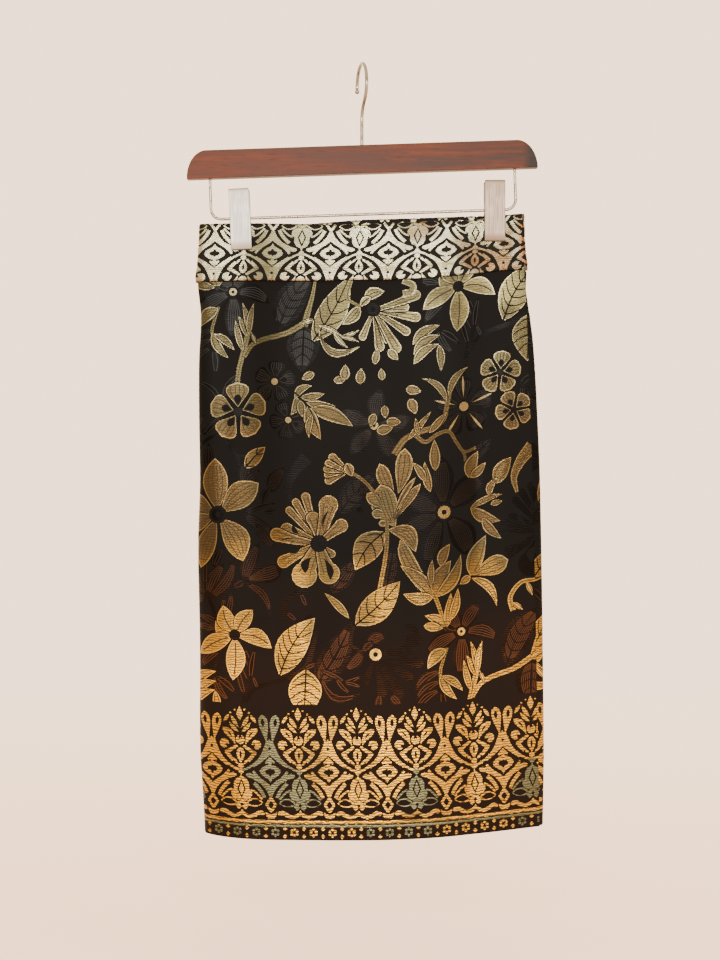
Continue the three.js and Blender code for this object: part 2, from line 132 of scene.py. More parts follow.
def stretched(tree, place, scale):
    return addNode(tree, "ShaderNodeMapping", {"Vector": place, "Scale": scale}).outputs["Vector"]


def partOf(tree, place, axis):
    return addNode(tree, "ShaderNodeSeparateXYZ", {"Vector": place}).outputs[axis]


def bumpNode(tree, height, strength, distance):
    inputs = {"Height": height, "Strength": strength, "Distance": distance}
    return addNode(tree, "ShaderNodeBump", inputs).outputs["Normal"]


# the hang of the cloth, in mm: x to the right, y away from the viewer, heights below the origin
garment = {
    "waist": -163.0,  # height that drops are measured from
    "clothLength": 568.0,  # from the hem to the foot of the waist tuck, along the cloth
    "footDrop": 60,  # drop of the foot of the waist tuck
    "sideLength": 569,  # drop from there to the hem, at the side folds
    "underTuck": 8.5,  # how far the panels go up behind the tuck
    "wall": 0.7,
    "lapInset": 1.7,
    "lapReach": 96.0,
    "seamInset": 16.0,  # from a side fold to the seam with the back
    "apart": 0.3,  # space between pieces
    "bandDrop": 27.0,
    "bandEnd": 165.4,
    "bandLapStart": 144.0,
}

# drop, left fold, right fold, turns left and right, out by the left, middle and right, back, free edge
sectionRows = np.array([
    (0, -166.3, 168.5, 4, 3, 3.6, 5.4, 4.1, 4.6, 166.4),
    (50, -168.4, 170.6, 5, 3.2, 4.0, 7.0, 4.2, 5.6, 167.6),
    (66, -168.0, 170.2, 6, 3.4, 4.4, 7.8, 4.3, 6.0, 168.2),
    (97, -165.0, 174.6, 8, 4, 5.2, 9.2, 4.6, 6.6, 170.0),
    (140, -166.9, 179.0, 10, 5, 6.4, 11.0, 5.0, 7.6, 171.6),
    (200, -166.9, 182.2, 14, 6, 8.2, 13.0, 5.6, 8.8, 173.6),
    (264, -166.0, 184.6, 18, 7, 10.2, 15.2, 6.2, 10.0, 175.8),
    (330, -167.9, 186.0, 23, 8, 12.4, 17.4, 6.8, 11.0, 177.4),
    (430, -166.0, 187.5, 30, 9, 15.4, 20.4, 7.6, 12.4, 179.6),
    (540, -165.6, 188.5, 38, 10, 18.4, 23.0, 8.4, 13.6, 181.4),
    (600, -162.0, 187.8, 43, 11, 20.2, 24.2, 9.0, 14.0, 182.6),
    (640, -160.2, 187.0, 46, 12, 21.2, 24.8, 9.4, 14.2, 183.2),
])
sectionNames = "drop left right turnLeft turnRight outLeft front outRight back free".split()

# across the garment: front top edge, back top edge, foot of the waist tuck, hem
levelRows = np.array([
    (-170, -163.5, -163.7, -224.0, -788.6),
    (-112, -162.7, -163.3, -222.3, -792.6),
    (-62, -163.7, -163.0, -223.2, -793.4),
    (-2, -164.4, -158.4, -222.0, -794.0),
    (28, -162.7, -157.4, -221.9, -793.6),
    (80, -160.8, -155.8, -219.0, -791.2),
    (116, -159.6, -154.6, -215.2, -788.4),
    (146, -154.6, -154.2, -212.0, -785.6),
    (190, -151.4, -151.4, -211.0, -781.2),
])
levelNames = "x frontTop backTop foot hem".split()

# the largest folds: place at the top and foot of each, width, depth, and the drops between which it runs
foldRows = {
    "front": [
        (-126, -104, 20, -2.4, -90, 400), (-88, -58, 24, 2.2, 40, 520), (-20, 6, 30, -2.0, 120, 760),
        (66, 72, 28, 2.4, 60, 700), (132, 118, 20, -2.0, -90, 460),
    ],
    "back": [
        (-126, -112, 20, -1.4, -90, 380), (-52, -70, 30, 1.8, 80, 700), (24, 20, 28, -1.8, 140, 760),
        (96, 82, 26, 1.6, 60, 560), (132, 138, 20, -1.2, -90, 420),
    ],
}


# a column of a table, read smoothly between its rows
def readRows(rows, column, place):
    keys = rows[:, 0]
    values = rows[:, column]
    last = len(keys) - 1
    slopes = np.array([
        (values[min(k + 1, last)] - values[max(k - 1, 0)]) / (keys[min(k + 1, last)] - keys[max(k - 1, 0)])
        for k in range(last + 1)
    ])
    at = np.clip(place, keys[0], keys[last])
    i = np.clip(np.searchsorted(keys, at, side="right") - 1, 0, last - 1)
    span = keys[i + 1] - keys[i]
    t = (at - keys[i]) / span
    t2 = t * t
    t3 = t2 * t
    return ((2 * t3 - 3 * t2 + 1) * values[i] + (t3 - 2 * t2 + t) * span * slopes[i]
            + (3 * t2 - 2 * t3) * values[i + 1] + (t3 - t2) * span * slopes[i + 1])


def sectionAt(name, drop):
    return readRows(sectionRows, sectionNames.index(name), drop)


def levelAt(name, x):
    return readRows(levelRows, levelNames.index(name), x)


def smoothStep(value, low, high):
    t = np.clip((value - low) / (high - low), 0, 1)
    return t * t * (3 - 2 * t)


def turned(share):
    return np.sqrt(np.clip(1 - (1 - np.clip(share, 0, 1)) ** 2, 0, 1))


creaseRows = [  # place, slant per mm of drop, width, depth, drops between which it runs
    (-146, 0.05, 5, -0.55, 60, 330), (-60, -0.06, 6, 0.5, 60, 260), (-8, 0.03, 7, -0.5, 66, 420),
    (38, -0.02, 5, 0.45, 62, 300), (104, 0.06, 6, -0.5, 60, 380), (150, -0.02, 5, 0.5, 60, 300),
    (-100, 0.02, 9, 0.6, 300, 640), (-30, -0.04, 9, -0.6, 340, 660), (60, 0.03, 10, 0.6, 320, 660),
    (120, -0.03, 8, -0.55, 360, 660),
]


def creaseDepth(x, drop):
    depth = np.zeros_like(x)
    for place, slant, width, height, top, foot in creaseRows:
        t = np.clip((drop - top) / (foot - top), 0, 1)
        centre = place + slant * (drop - top)
        depth += height * np.sin(np.pi * t) ** 0.7 * np.exp(-(((x - centre) / width) ** 2))
    return depth


# how far the cloth stands out from the middle plane of the garment
def depthOf(side, x, drop):
    left = sectionAt("left", drop)
    right = sectionAt("right", drop)
    u = np.clip((2 * x - left - right) / (right - left), -1, 1)
    outLeft = sectionAt("outLeft", drop)
    outRight = sectionAt("outRight", drop)
    beside = outLeft + (outRight - outLeft) * (u + 1) / 2
    depth = beside + (sectionAt("front", drop) - (outLeft + outRight) / 2) * (1 - u * u)
    if side == "back":
        depth = depth * sectionAt("back", drop) / sectionAt("front", drop)
    edge = smoothStep(1 - np.abs(u), 0, 0.14)
    for topX, footX, width, height, top, foot in foldRows[side]:
        t = np.clip((drop - top) / (foot - top), 0, 1)
        centre = topX + (footX - topX) * t
        depth = depth + height * np.sin(np.pi * t) ** 0.8 * edge * np.exp(-(((x - centre) / width) ** 2))
    depth = depth + edge * creaseDepth(x, drop)
    return depth * turned((x - left) / sectionAt("turnLeft", drop))


backOrigin = -333.0  # the back carries on from the left fold


# where a place of the cloth lies in plan: s runs from left to right across the front of each piece
def planAt(piece, s, drop):
    left = sectionAt("left", drop)
    right = sectionAt("right", drop)
    if piece == "over":
        x = np.where(s >= left, s, 2 * left - s)
        y = np.where(s >= left, -depthOf("front", x, drop), depthOf("back", x, drop))
        return x, y, s < left
    if piece == "lap":
        x = np.where(s <= right, s, 2 * right - s)
        turn = turned((right - x) / sectionAt("turnRight", drop))
        inFront = (garment["lapInset"] - depthOf("front", x, drop)) * turn
        y = np.where(s <= right, inFront, depthOf("back", x, drop) * turn)
        return x, y, s > right
    x = backOrigin - s
    turn = turned((right - x) / sectionAt("turnRight", drop))
    return x, depthOf("back", x, drop) * turn, np.ones_like(x, dtype=bool)


def outwards(piece, s, drop):
    step = 0.25
    x0, y0, _ = planAt(piece, s - step, drop)
    x1, y1, _ = planAt(piece, s + step, drop)
    tangent = np.stack([x1 - x0, y1 - y0], axis=-1)
    tangent /= np.maximum(np.linalg.norm(tangent, axis=-1, keepdims=True), 1e-9)
    return tangent[..., 1], -tangent[..., 0]


# a place of a panel in space, from its place on the flat cloth
def panelPlace(piece, s, t):
    share = t / garment["clothLength"]
    drop = garment["footDrop"] + (1 - share) * garment["clothLength"]
    for _ in range(3):
        x, _, _ = planAt(piece, s, drop)
        hem = levelAt("hem", x)
        z = hem + share * (levelAt("foot", x) - hem)
        drop = garment["waist"] - z
    x, y, _ = planAt(piece, s, drop)
    return np.stack([x, y, z], axis=-1)


# the waist tuck: its wall, the height in the border that its top edge shows, and how far the border is
# pressed together and moved on it
tuck = {"wall": 0.8, "from": 34.0, "stretch": 1.12, "shift": 1.5}

# its profile: length along it from its top edge, stand from the panel, share of the way from its foot to
# its top edge, and what is added to that height
tuckProfile = np.array([
    (-7.0, -1.3, 1, -6.6), (-2.0, -1.3, 1, -1.6), (-0.8, -1.0, 1, -0.5), (0.0, -0.3, 1, 0.0),
    (0.9, 0.3, 1, -0.6), (3.0, 0.5, 1, -2.6), (17.0, 0.5, 0.72, 0.0), (33.0, 0.6, 0.45, 0.0),
    (44.0, 0.95, 0, 16.0), (49.5, 2.3, 0, 10.6), (54.5, 2.9, 0, 5.6), (58.0, 2.75, 0, 2.0),
    (59.6, 2.4, 0, 0.5), (60.6, 1.8, 0, 0.0), (61.6, 1.3, 0, 0.5), (64.0, 1.1, 0, 2.6),
    (68.0, 1.1, 0, 6.6),
])


def bandPlace(piece, s, v):
    x, _, behind = planAt(piece, s, np.full_like(s, garment["bandDrop"]))
    foot = levelAt("foot", x)
    top = np.where(behind, levelAt("backTop", x), levelAt("frontTop", x))
    stand, share, rise = [np.interp(v, tuckProfile[:, 0], tuckProfile[:, i]) for i in (1, 2, 3)]
    z = foot + share * (top - foot) + rise
    drop = garment["waist"] - z
    if piece == "lap":
        lip = smoothStep(s - sectionAt("right", drop), -3.0, 2.5)
        stand = stand * lip - 0.15 * (1 - lip)
    x, y, _ = planAt(piece, s, drop)
    outX, outY = outwards(piece, s, drop)
    ripple = 0.25 * np.sin(s / 11.0) * np.exp(-((v - 54) / 9) ** 2)
    return np.stack([x + outX * (stand + ripple), y + outY * (stand + ripple), z], axis=-1)


print("stage: cloth forms ready")


# woven motifs are flat outlines on the cloth, in mm; this runs a smooth line through points
def along(points, count):
    points = np.asarray(points, dtype=float)
    if len(points) == 2:
        t = np.linspace(0, 1, count)[:, None]
        return points[0] + (points[1] - points[0]) * t
    padded = np.vstack([2 * points[0] - points[1], points, 2 * points[-1] - points[-2]])
    result = []
    spans = len(points) - 1
    for place in np.linspace(0, spans, count):
        i = min(int(place), spans - 1)
        t = place - i
        a, b, c, d = padded[i:i + 4]
        result.append(0.5 * (2 * b + (c - a) * t + (2 * a - 5 * b + 4 * c - d) * t ** 2
                             + (3 * b - a - 3 * c + d) * t ** 3))
    return np.array(result)


def stem(points, widthFrom, widthTo, count=None):
    line = along(points, count or 6 * len(points))
    tangent = np.gradient(line, axis=0)
    tangent /= np.maximum(np.linalg.norm(tangent, axis=1, keepdims=True), 1e-9)
    normal = np.stack([-tangent[:, 1], tangent[:, 0]], axis=1)
    half = np.linspace(widthFrom, widthTo, len(line))[:, None] / 2
    return np.vstack([line + normal * half, (line - normal * half)[::-1]])


# where a petal or leaf starts, its axis, its length, and the directions along and across it
def axesOf(base, tip):
    base = np.asarray(base, dtype=float)
    axis = np.asarray(tip, dtype=float) - base
    length = max(np.linalg.norm(axis), 1e-9)
    unit = axis / length
    return base, axis, length, unit, np.array([-unit[1], unit[0]])


def leaf(base, tip, width, bend=0.0, widest=0.45, count=10, blunt=1.0):
    base, axis, _, _, normal = axesOf(base, tip)
    t = np.linspace(0, 1, count)[:, None]
    power = math.log(0.5) / math.log(widest)
    half = width / 2 * np.sin(np.pi * t ** power).clip(0) ** blunt
    mid = base + axis * t + normal * bend * 4 * t * (1 - t)
    return np.vstack([(mid + normal * half)[:-1], (mid - normal * half)[::-1][:-1]])


def disc(centre, radius, count=12):
    a = np.linspace(0, 2 * np.pi, count, endpoint=False)
    return np.stack([centre[0] + radius * np.cos(a), centre[1] + radius * np.sin(a)], axis=1)


def polar(centre, radius, angle):
    return (centre[0] + radius * math.cos(angle), centre[1] + radius * math.sin(angle))


# a petal or plain leaf: a thin gap round it, and binding lines that run its length
def petal(base, tip, width, bend=0.0, lines=2, widest=0.55, blunt=0.8):
    tip = np.asarray(tip, dtype=float)
    base, axis, _, unit, normal = axesOf(base, tip)
    shapes = [
        ("gap", leaf(base - unit * 0.6, tip + unit * 1.1, width + 2.2, bend, widest, 9, blunt)),
        ("rim", leaf(base, tip, width, bend, widest, 10, blunt)),
    ]
    if width > 5:
        inside = leaf(base + unit * 0.8, tip - unit * 1.3, width - 1.9, bend, widest, 9, blunt)
        shapes.append(("motif", inside))
    power = math.log(0.5) / math.log(widest)
    bindWidth = 1.3 if lines == 1 else 0.8
    for tone, count, size in (("bind", lines, bindWidth), ("hatch", max(2, int(width / 3.0)), 0.7)):
        for i in range(count):
            share = 0.0 if count == 1 else -0.6 + 1.2 * i / (count - 1)
            points = []
            for t in (0.12, 0.4, 0.65, 0.86):
                swell = math.sin(math.pi * t ** power) ** blunt
                sideways = bend * 4 * t * (1 - t) + share * width / 2 * swell
                points.append(base + axis * t + normal * sideways)
            shapes.append((tone, stem(points, size, size, 6)))
    return shapes


def petals(rows, *shape):
    return [part for row in rows for part in petal(*row, *shape)]


def sprigOfLeaves(rows):
    return petals(rows, 2, 0.42, 0.9)


# a leaf with its midrib and side veins left open in the weave, and binding lines between them
def veinedLeaf(base, tip, width, bend=0.0, veins=4):
    shapes = petal(base, tip, width, bend, 0, 0.45, 0.9)
    base, axis, length, unit, normal = axesOf(base, tip)

    def onRib(share):
        return base + axis * share + normal * bend * 4 * share * (1 - share)

    for i in range(veins):
        share = 0.1 + 0.52 * i / max(veins - 1, 1)
        reach = width * 0.47 * math.sin(math.pi * min(share + 0.18, 1)) ** 0.9
        for side in (-1, 1):
            start = onRib(share)
            middle = start + unit * length * 0.06 + normal * side * reach * 0.5
            end = start + unit * length * 0.18 + normal * side * reach
            shapes.append(("slit", stem([start, middle, end], 1.4, 1.0, 6)))
    shapes.append(("slit", stem([onRib(share) for share in (0.0, 0.35, 0.65, 0.94)], 1.7, 1.0, 9)))
    return shapes


def flowerHeart(centre, radii, counts):
    tones = ("gap", "eye", "gap")
    return [(tone, disc(centre, radius, count)) for tone, radius, count in zip(tones, radii, counts)]


# petals given one by one: direction in degrees, length, width and bend
def openFlower(centre, rows, heart=5.0, lines=1, widest=0.55):
    shapes = []
    for degrees, length, width, bend in rows:
        angle = math.radians(degrees)
        base, tip = polar(centre, heart * 0.5, angle), polar(centre, length, angle)
        shapes += petal(base, tip, width, bend, lines, widest)
    return shapes + flowerHeart(centre, (heart + 0.4, heart * 0.74, heart * 0.3), (14, 12, 8))


# a small open flower of round petals, each with one drop-shaped slot
def blossom(centre, radius, count, turn, sticks=False):
    shapes = []
    for i in range(count):
        angle = turn + 2 * math.pi * i / count
        base = polar(centre, radius * 0.14, angle)
        reach = radius * (1 + 0.06 * math.sin(3 * i))
        shapes += petal(base, polar(centre, reach, angle), radius * 0.8, 0, 4, 0.7, 0.6)
        shapes.append(("slit", leaf(base, polar(centre, radius * 0.6, angle), radius * 0.26, 0, 0.7, 8)))
        if sticks:
            a, b = polar(centre, radius * 0.3, angle), polar(centre, radius * 1.05, angle)
            shapes.append(("stick", leaf(a, b, 2.4, 0, 0.6, 7)))
    return shapes + flowerHeart(centre, (radius * 0.18, radius * 0.16), (10, 10))


# blunt fingers that widen to round tips: direction, length, width and bend of each
def fingers(centre, rows, start):
    shapes = []
    for degrees, length, width, bend in rows:
        angle = math.radians(degrees)
        across = np.array([-math.sin(angle), math.cos(angle)])
        a = np.array(polar(centre, start, angle))
        b = np.array(polar(centre, length * 0.55, angle)) + across * bend * 0.5
        c = np.array(polar(centre, length - width * 0.5, angle)) + across * bend
        narrow = width * 0.42
        sizes = (("gap", width * 0.45 + 2, 2.2), ("rim", narrow, 0), ("motif", narrow - 1.6, -1.8))
        for tone, foot, more in sizes:
            shapes.append((tone, stem([a, b, c], foot, width + more, 10)))
            shapes.append((tone, disc(c, width / 2 + more / 2, 14)))
        for side in (-0.24, 0.24):
            beside = across * side * width
            shapes.append(("bind", stem([a + beside * 0.4, b + beside * 0.7, c + beside], 0.7, 0.8, 8)))
    return shapes


def branch(points, widthFrom, widthTo):
    main = stem(points, widthFrom, widthTo, 6 * len(points))
    return [("motif", main), ("bind", stem(points, 0.7, 0.6, 5 * len(points)))]


def hookedLeaf(points, wide, thin):
    return [("rim", stem(points, wide, thin, 16)), ("motif", stem(points, wide - 1.6, thin - 1.4, 16)),
            ("bind", stem(points, 0.8, 0.6, 12))]


# place, direction and size of each
def looseLeaves(rows):
    return petals([((x, t), polar((x, t), size, angle), size * 0.62) for x, t, angle, size in rows],
                  0, 2, 0.42, 0.8)


def slits(rows):
    return [("slit", leaf(base, tip, width, bend, 0.62, 9)) for base, tip, width, bend in rows]


def drawn(*shapes):
    return list(shapes)


# the flower repeat: what draws each motif, and its places and sizes
flowerTable = [
    # the forked sprig at the upper left, with its long branch
    (branch, [(-127, 462), (-125, 478), (-121, 494), (-116, 514)], 4.6, 5.4),
    (branch, [(-120, 490), (-112, 502), (-100, 508), (-76, 515), (-54, 528)], 4.2, 5.6),
    (branch, [(-58, 522), (-54, 538), (-50, 552), (-47, 568)], 7.0, 2.6),
    (sprigOfLeaves, [
        ((-121, 496), (-129, 528), 6.6, 1), ((-117, 511), (-126, 532), 7.0, -1),
        ((-115, 512), (-122, 546), 6.4, -1.5), ((-115, 512), (-110, 545), 6.6, 1.5),
        ((-108, 504), (-113, 516), 3.6, 0), ((-60, 524), (-46, 529), 5.0, 1),
    ]),
    # the leaves left of it
    (branch, [(-146, 542), (-150, 530), (-153, 518), (-151, 505), (-146, 496)], 2.6, 4.0),
    (sprigOfLeaves, [
        ((-147, 541), (-166, 522), 13, -3), ((-153, 516), (-136, 489), 9, -3),
        ((-151, 514), (-130, 497), 8, 2), ((-170, 566), (-150, 562), 9, 0),
    ]),
    # the fingered flower with its leaves and crescent
    (fingers, (12.4, 538.5), [
        (-105, 34, 8, -3), (-77, 44, 10, -2), (-65, 39, 7.5, 0), (-57, 52, 11, -2), (-35, 46, 9, 0),
        (-15, 50, 10, 2), (0, 37, 9, 1), (5, 50, 10.5, 9),
    ], 7),
    (petal, (2, 545), (24, 557), 12, 4, 3),
    (sprigOfLeaves, [((14, 482), (17, 499), 8, 0), ((28, 497), (38, 486), 9, 0)]),
    (drawn, ("rim", stem([(43, 553), (52, 555), (53, 562), (43, 567)], 8.0, 6.0, 16)),
     ("motif", stem([(44, 553.6), (51, 555.6), (52, 562), (44, 566.6)], 5.6, 4.0, 16))),
    (flowerHeart, (12.4, 538.5), (8.0, 6.2, 2.6), (14, 12, 10)),
    (veinedLeaf, (-50, 506), (-12, 572), 29, -3, 4),
    (petal, (-1, 541), (-19, 523), 12, 2, 3, 0.4),
    (petal, (-1, 541), (10, 551), 8, 1, 1),
    (branch, [(0, 541), (-8, 545), (-14, 551), (-10, 568)], 2.4, 3.6),
    (petal, (-44, 521), (-1, 500), 8.4, -17, 3, 0.6, 0.7),
    (sprigOfLeaves, [
        ((-44, 523), (-18, 510), 5.0, 1), ((-21, 510), (-2, 517), 4.4, -1),
        ((-28, 515), (-13, 499), 4.8, -1.5), ((-20, 510), (-2, 505), 4.0, 1),
    ]),
    # a leaf cut into long tongues
    (sprigOfLeaves, [
        ((53, 501), (81, 519), 11, 4), ((54, 491), (81, 509), 10.4, 4), ((54, 481), (80, 500), 10, 4),
        ((80, 499), (82, 472), 8.4, 1),
    ]),
    # the lily at the upper right, and the leaves by the free edge
    (openFlower, (100, 557), [
        (145, 24, 17, 2), (112, 32, 18, 3), (55, 32, 17, 2), (-18, 40, 17, 6), (-92, 46, 20, 2),
        (210, 42, 18, -3),
    ], 5.5, 1, 0.5),
    (veinedLeaf, (146, 517), (182, 576), 31, 5, 5),
    (veinedLeaf, (173, 524), (171, 475), 34, 0, 4),
    # open blossoms
    (blossom, (-126, 434), 30, 5, 0.35, True),
    (blossom, (143, 465), 22, 5, 0.2),
    (blossom, (157, 426), 20, 5, 0.75),
    # loose small leaves about the middle
    (looseLeaves, [
        (-48, 474, 3.6, 14), (-28, 466, 0.1, 13), (-17, 466, 1.5, 16), (-1, 462, 1.5, 16),
        (22, 466, 1.7, 12), (46, 456, -0.2, 16), (50, 446, -1.2, 17), (14, 432, -1.9, 14),
        (24, 440, -1.5, 13), (26, 424, -0.1, 15), (16, 414, 0.2, 17),
    ]),
    (sprigOfLeaves, [
        ((-68, 448), (-50, 461), 8, 4), ((-62, 449), (-37, 453), 8, -1), ((-56, 444), (-26, 440), 8.4, -1),
        ((-52, 438), (-8, 419), 15, 3), ((-66, 450), (-72, 431), 9, 3), ((-62, 446), (-60, 429), 8.4, 0),
        ((-55, 440), (-41, 406), 14, -2), ((-50, 432), (-53, 408), 7, -2),
    ]),
    (drawn, ("slit", stem([(-69, 455), (-62, 449), (-53, 438), (-44, 418)], 1.4, 0.9, 14))),
    (veinedLeaf, (-119, 376), (-98, 398), 15, 1, 2),
    # the branching twig
    (branch, [(34, 390), (44, 404), (58, 411), (72, 415), (84, 422), (88, 436), (92, 456)], 6.4, 4.4),
    (branch, [(56, 408), (66, 401), (78, 408), (90, 410), (98, 398), (106, 388), (118, 391)], 4.4, 3.0),
    (branch, [(102, 392), (106, 385), (107, 378)], 3.0, 3.0),
    (sprigOfLeaves, [
        ((48, 404), (72, 432), 6.5, 0), ((88, 440), (62, 466), 7.0, -6), ((90, 446), (110, 474), 7.5, 5),
        ((70, 410), (88, 430), 7.5, 0), ((60, 408), (56, 426), 5.4, 1),
    ]),
    # the large flower at the left and the lobed one beside it
    (openFlower, (-146.5, 328.5), [
        (155, 44, 22, 0), (200, 44, 20, 0), (93, 58, 26, 1), (38, 53, 27, 2), (-108, 58, 20, -2),
        (-61, 54, 27, 5),
    ], 9, 4, 0.55),
    (fingers, (-43, 300.4), [
        (106, 54, 9, 0), (117, 52, 8, 2), (127, 49, 8, 4), (150, 42, 13, 4), (179, 50, 14, -8),
        (206, 47, 13, 1), (97, 33, 14, 3), (73, 50, 20, 2), (38, 36, 14, 0), (-39, 21, 8, 0),
        (-118, 48, 26, 2), (-78, 43, 22, 4),
    ], 6),
    (slits, [
        ((-39, 286), (-31, 263), 7.0, 3), ((-49, 287), (-57, 270), 9.0, -4),
        ((-58, 300), (-76, 292), 6.0, 2), ((-62, 310), (-70, 319), 5.0, 2),
        ((-38, 312), (-33, 334), 2.4, 3), ((-66, 304), (-82, 303), 1.4, -2),
    ]),
    (flowerHeart, (-43, 300.4), (9, 7.2, 3.0), (12, 12, 10)),
    # the half-open flower, with the stem of the bud in front of it
    (petals, [
        ((38, 350), (45, 396), 18, -2, 3, 0.62, 0.65), ((35, 348), (19, 381), 15, 2, 3, 0.64, 0.65),
        ((35, 316), (20, 360), 27, 3, 5, 0.6, 0.65), ((22, 336), (6, 351), 12, 0, 2, 0.6, 0.65),
        ((25, 329), (11, 331), 10, 0, 2, 0.6, 0.65), ((28, 321), (18, 320), 7, 0, 1, 0.6, 0.65),
        ((31, 318), (61, 359), 9, 1, 3, 0.7), ((31, 319), (56, 366), 6, 3, 1, 0.7),
    ]),
    (branch, [(-8, 371), (1, 365), (10, 356), (18, 343), (25.6, 325), (26.6, 303), (24, 280), (19, 254)],
     3.2, 4.4),
    (fingers, (-14, 373), [
        (125, 25, 9, 4), (207, 25, 9, -1), (187, 24, 7, 0), (172, 25, 7, 0), (155, 25, 7, 0),
    ], 3),
    (petal, (-9, 368), (-15, 382), 10, 0, 1),
    # leaves down the stem
    (veinedLeaf, (24, 312), (-6, 273), 28, -4, 3),
    (petal, (28, 314), (56, 290), 17, 9, 4, 0.5, 0.7),
    (petal, (40, 303), (70, 256), 15, -5, 3, 0.4),
    (veinedLeaf, (-6, 217), (40, 261), 29, -2, 4),
    (petal, (-37, 250), (-12, 224), 8, 1, 2),
    # leaf clusters at the right of the middle
    (sprigOfLeaves, [
        ((74, 243), (40, 277), 14, -3), ((74, 243), (43, 248), 13, 3), ((75, 245), (92, 279), 17, 3),
        ((76, 243), (102, 284), 13, -6), ((81, 274), (91, 296), 11, 2), ((72, 256), (73, 281), 7, 1),
        ((112, 261), (128, 301), 17, 2), ((113, 259), (139, 228), 9, 7), ((112, 261), (101, 254), 8, 0),
        ((88, 213), (65, 225), 10, -2), ((88, 212), (92, 246), 9, 0), ((91, 218), (99, 250), 9, -2),
        ((112, 330), (145, 341), 6.5, 2), ((112, 330), (143, 314), 12, -3),
        ((124, 319), (144, 296), 9.5, -2), ((133, 332), (145, 334), 6, 0),
        ((110, 361), (120, 387), 13, 2), ((112, 361), (128, 375), 9, -1), ((76, 371), (75, 403), 11, 0),
        ((71, 350), (65, 381), 9, 1), ((66, 361), (53, 381), 8, -1), ((138, 352), (154, 378), 16, 2),
        ((131, 340), (140, 358), 8, 3),
    ]),
    (petal, (113, 262), (151, 274), 20, 0, 3, 0.66, 0.65),
    (branch, [(74, 248), (80, 232), (86, 213)], 4.6, 3.4),
    (hookedLeaf, [(176, 388), (164, 374), (157, 358), (160, 342)], 14.0, 3.0),
    (hookedLeaf, [(180, 252), (164, 250), (153, 236), (156, 222)], 3.4, 5.4),
    (sprigOfLeaves, [((170, 250), (176, 236), 5, 0), ((156, 230), (166, 222), 5, 0)]),
    # what the left fold and the back show of the repeat
    (openFlower, (-218, 420), [
        (80, 38, 18, 2), (10, 38, 18, -2), (-60, 40, 18, 2), (-130, 38, 18, 0), (155, 36, 17, 2),
    ], 6, 3),
    (veinedLeaf, (-254, 330), (-214, 372), 26, 3, 4),
    (veinedLeaf, (-206, 250), (-198, 296), 22, 0, 4),
    (veinedLeaf, (-262, 250), (-236, 284), 20, 0, 3),
]
field = [shape for maker, *values in flowerTable for shape in maker(*values)]

fieldRepeat = {"across": 463.0, "row": (-229.0, -351.0), "halfDrop": 231.5, "from": 137.0}
goldTones = {
    "motif": "gold", "rim": "rim", "gap": "ground", "slit": "ground", "bind": "bind", "hatch": "none",
    "eye": "shadow", "stick": "none",
}
shadowTones = {
    "motif": "shadow", "rim": "shadow", "gap": "ground", "slit": "ground", "bind": "none", "hatch": "glint",
    "eye": "rim", "stick": "rim",
}
borderRepeat = {
    "width": 59.5, "unitAt": -62.7, "lean": -0.029, "leanFrom": 70,
    # painted reflection: the pieces painted grey-green stand in for a duller sheen
    "paleArch": 8, "palePalmette": 2,  # one unit in how many turns grey-green
}


def signedArea(outline):
    x, y = outline[:, 0], outline[:, 1]
    return 0.5 * float(np.sum(x * np.roll(y, -1) - np.roll(x, -1) * y))


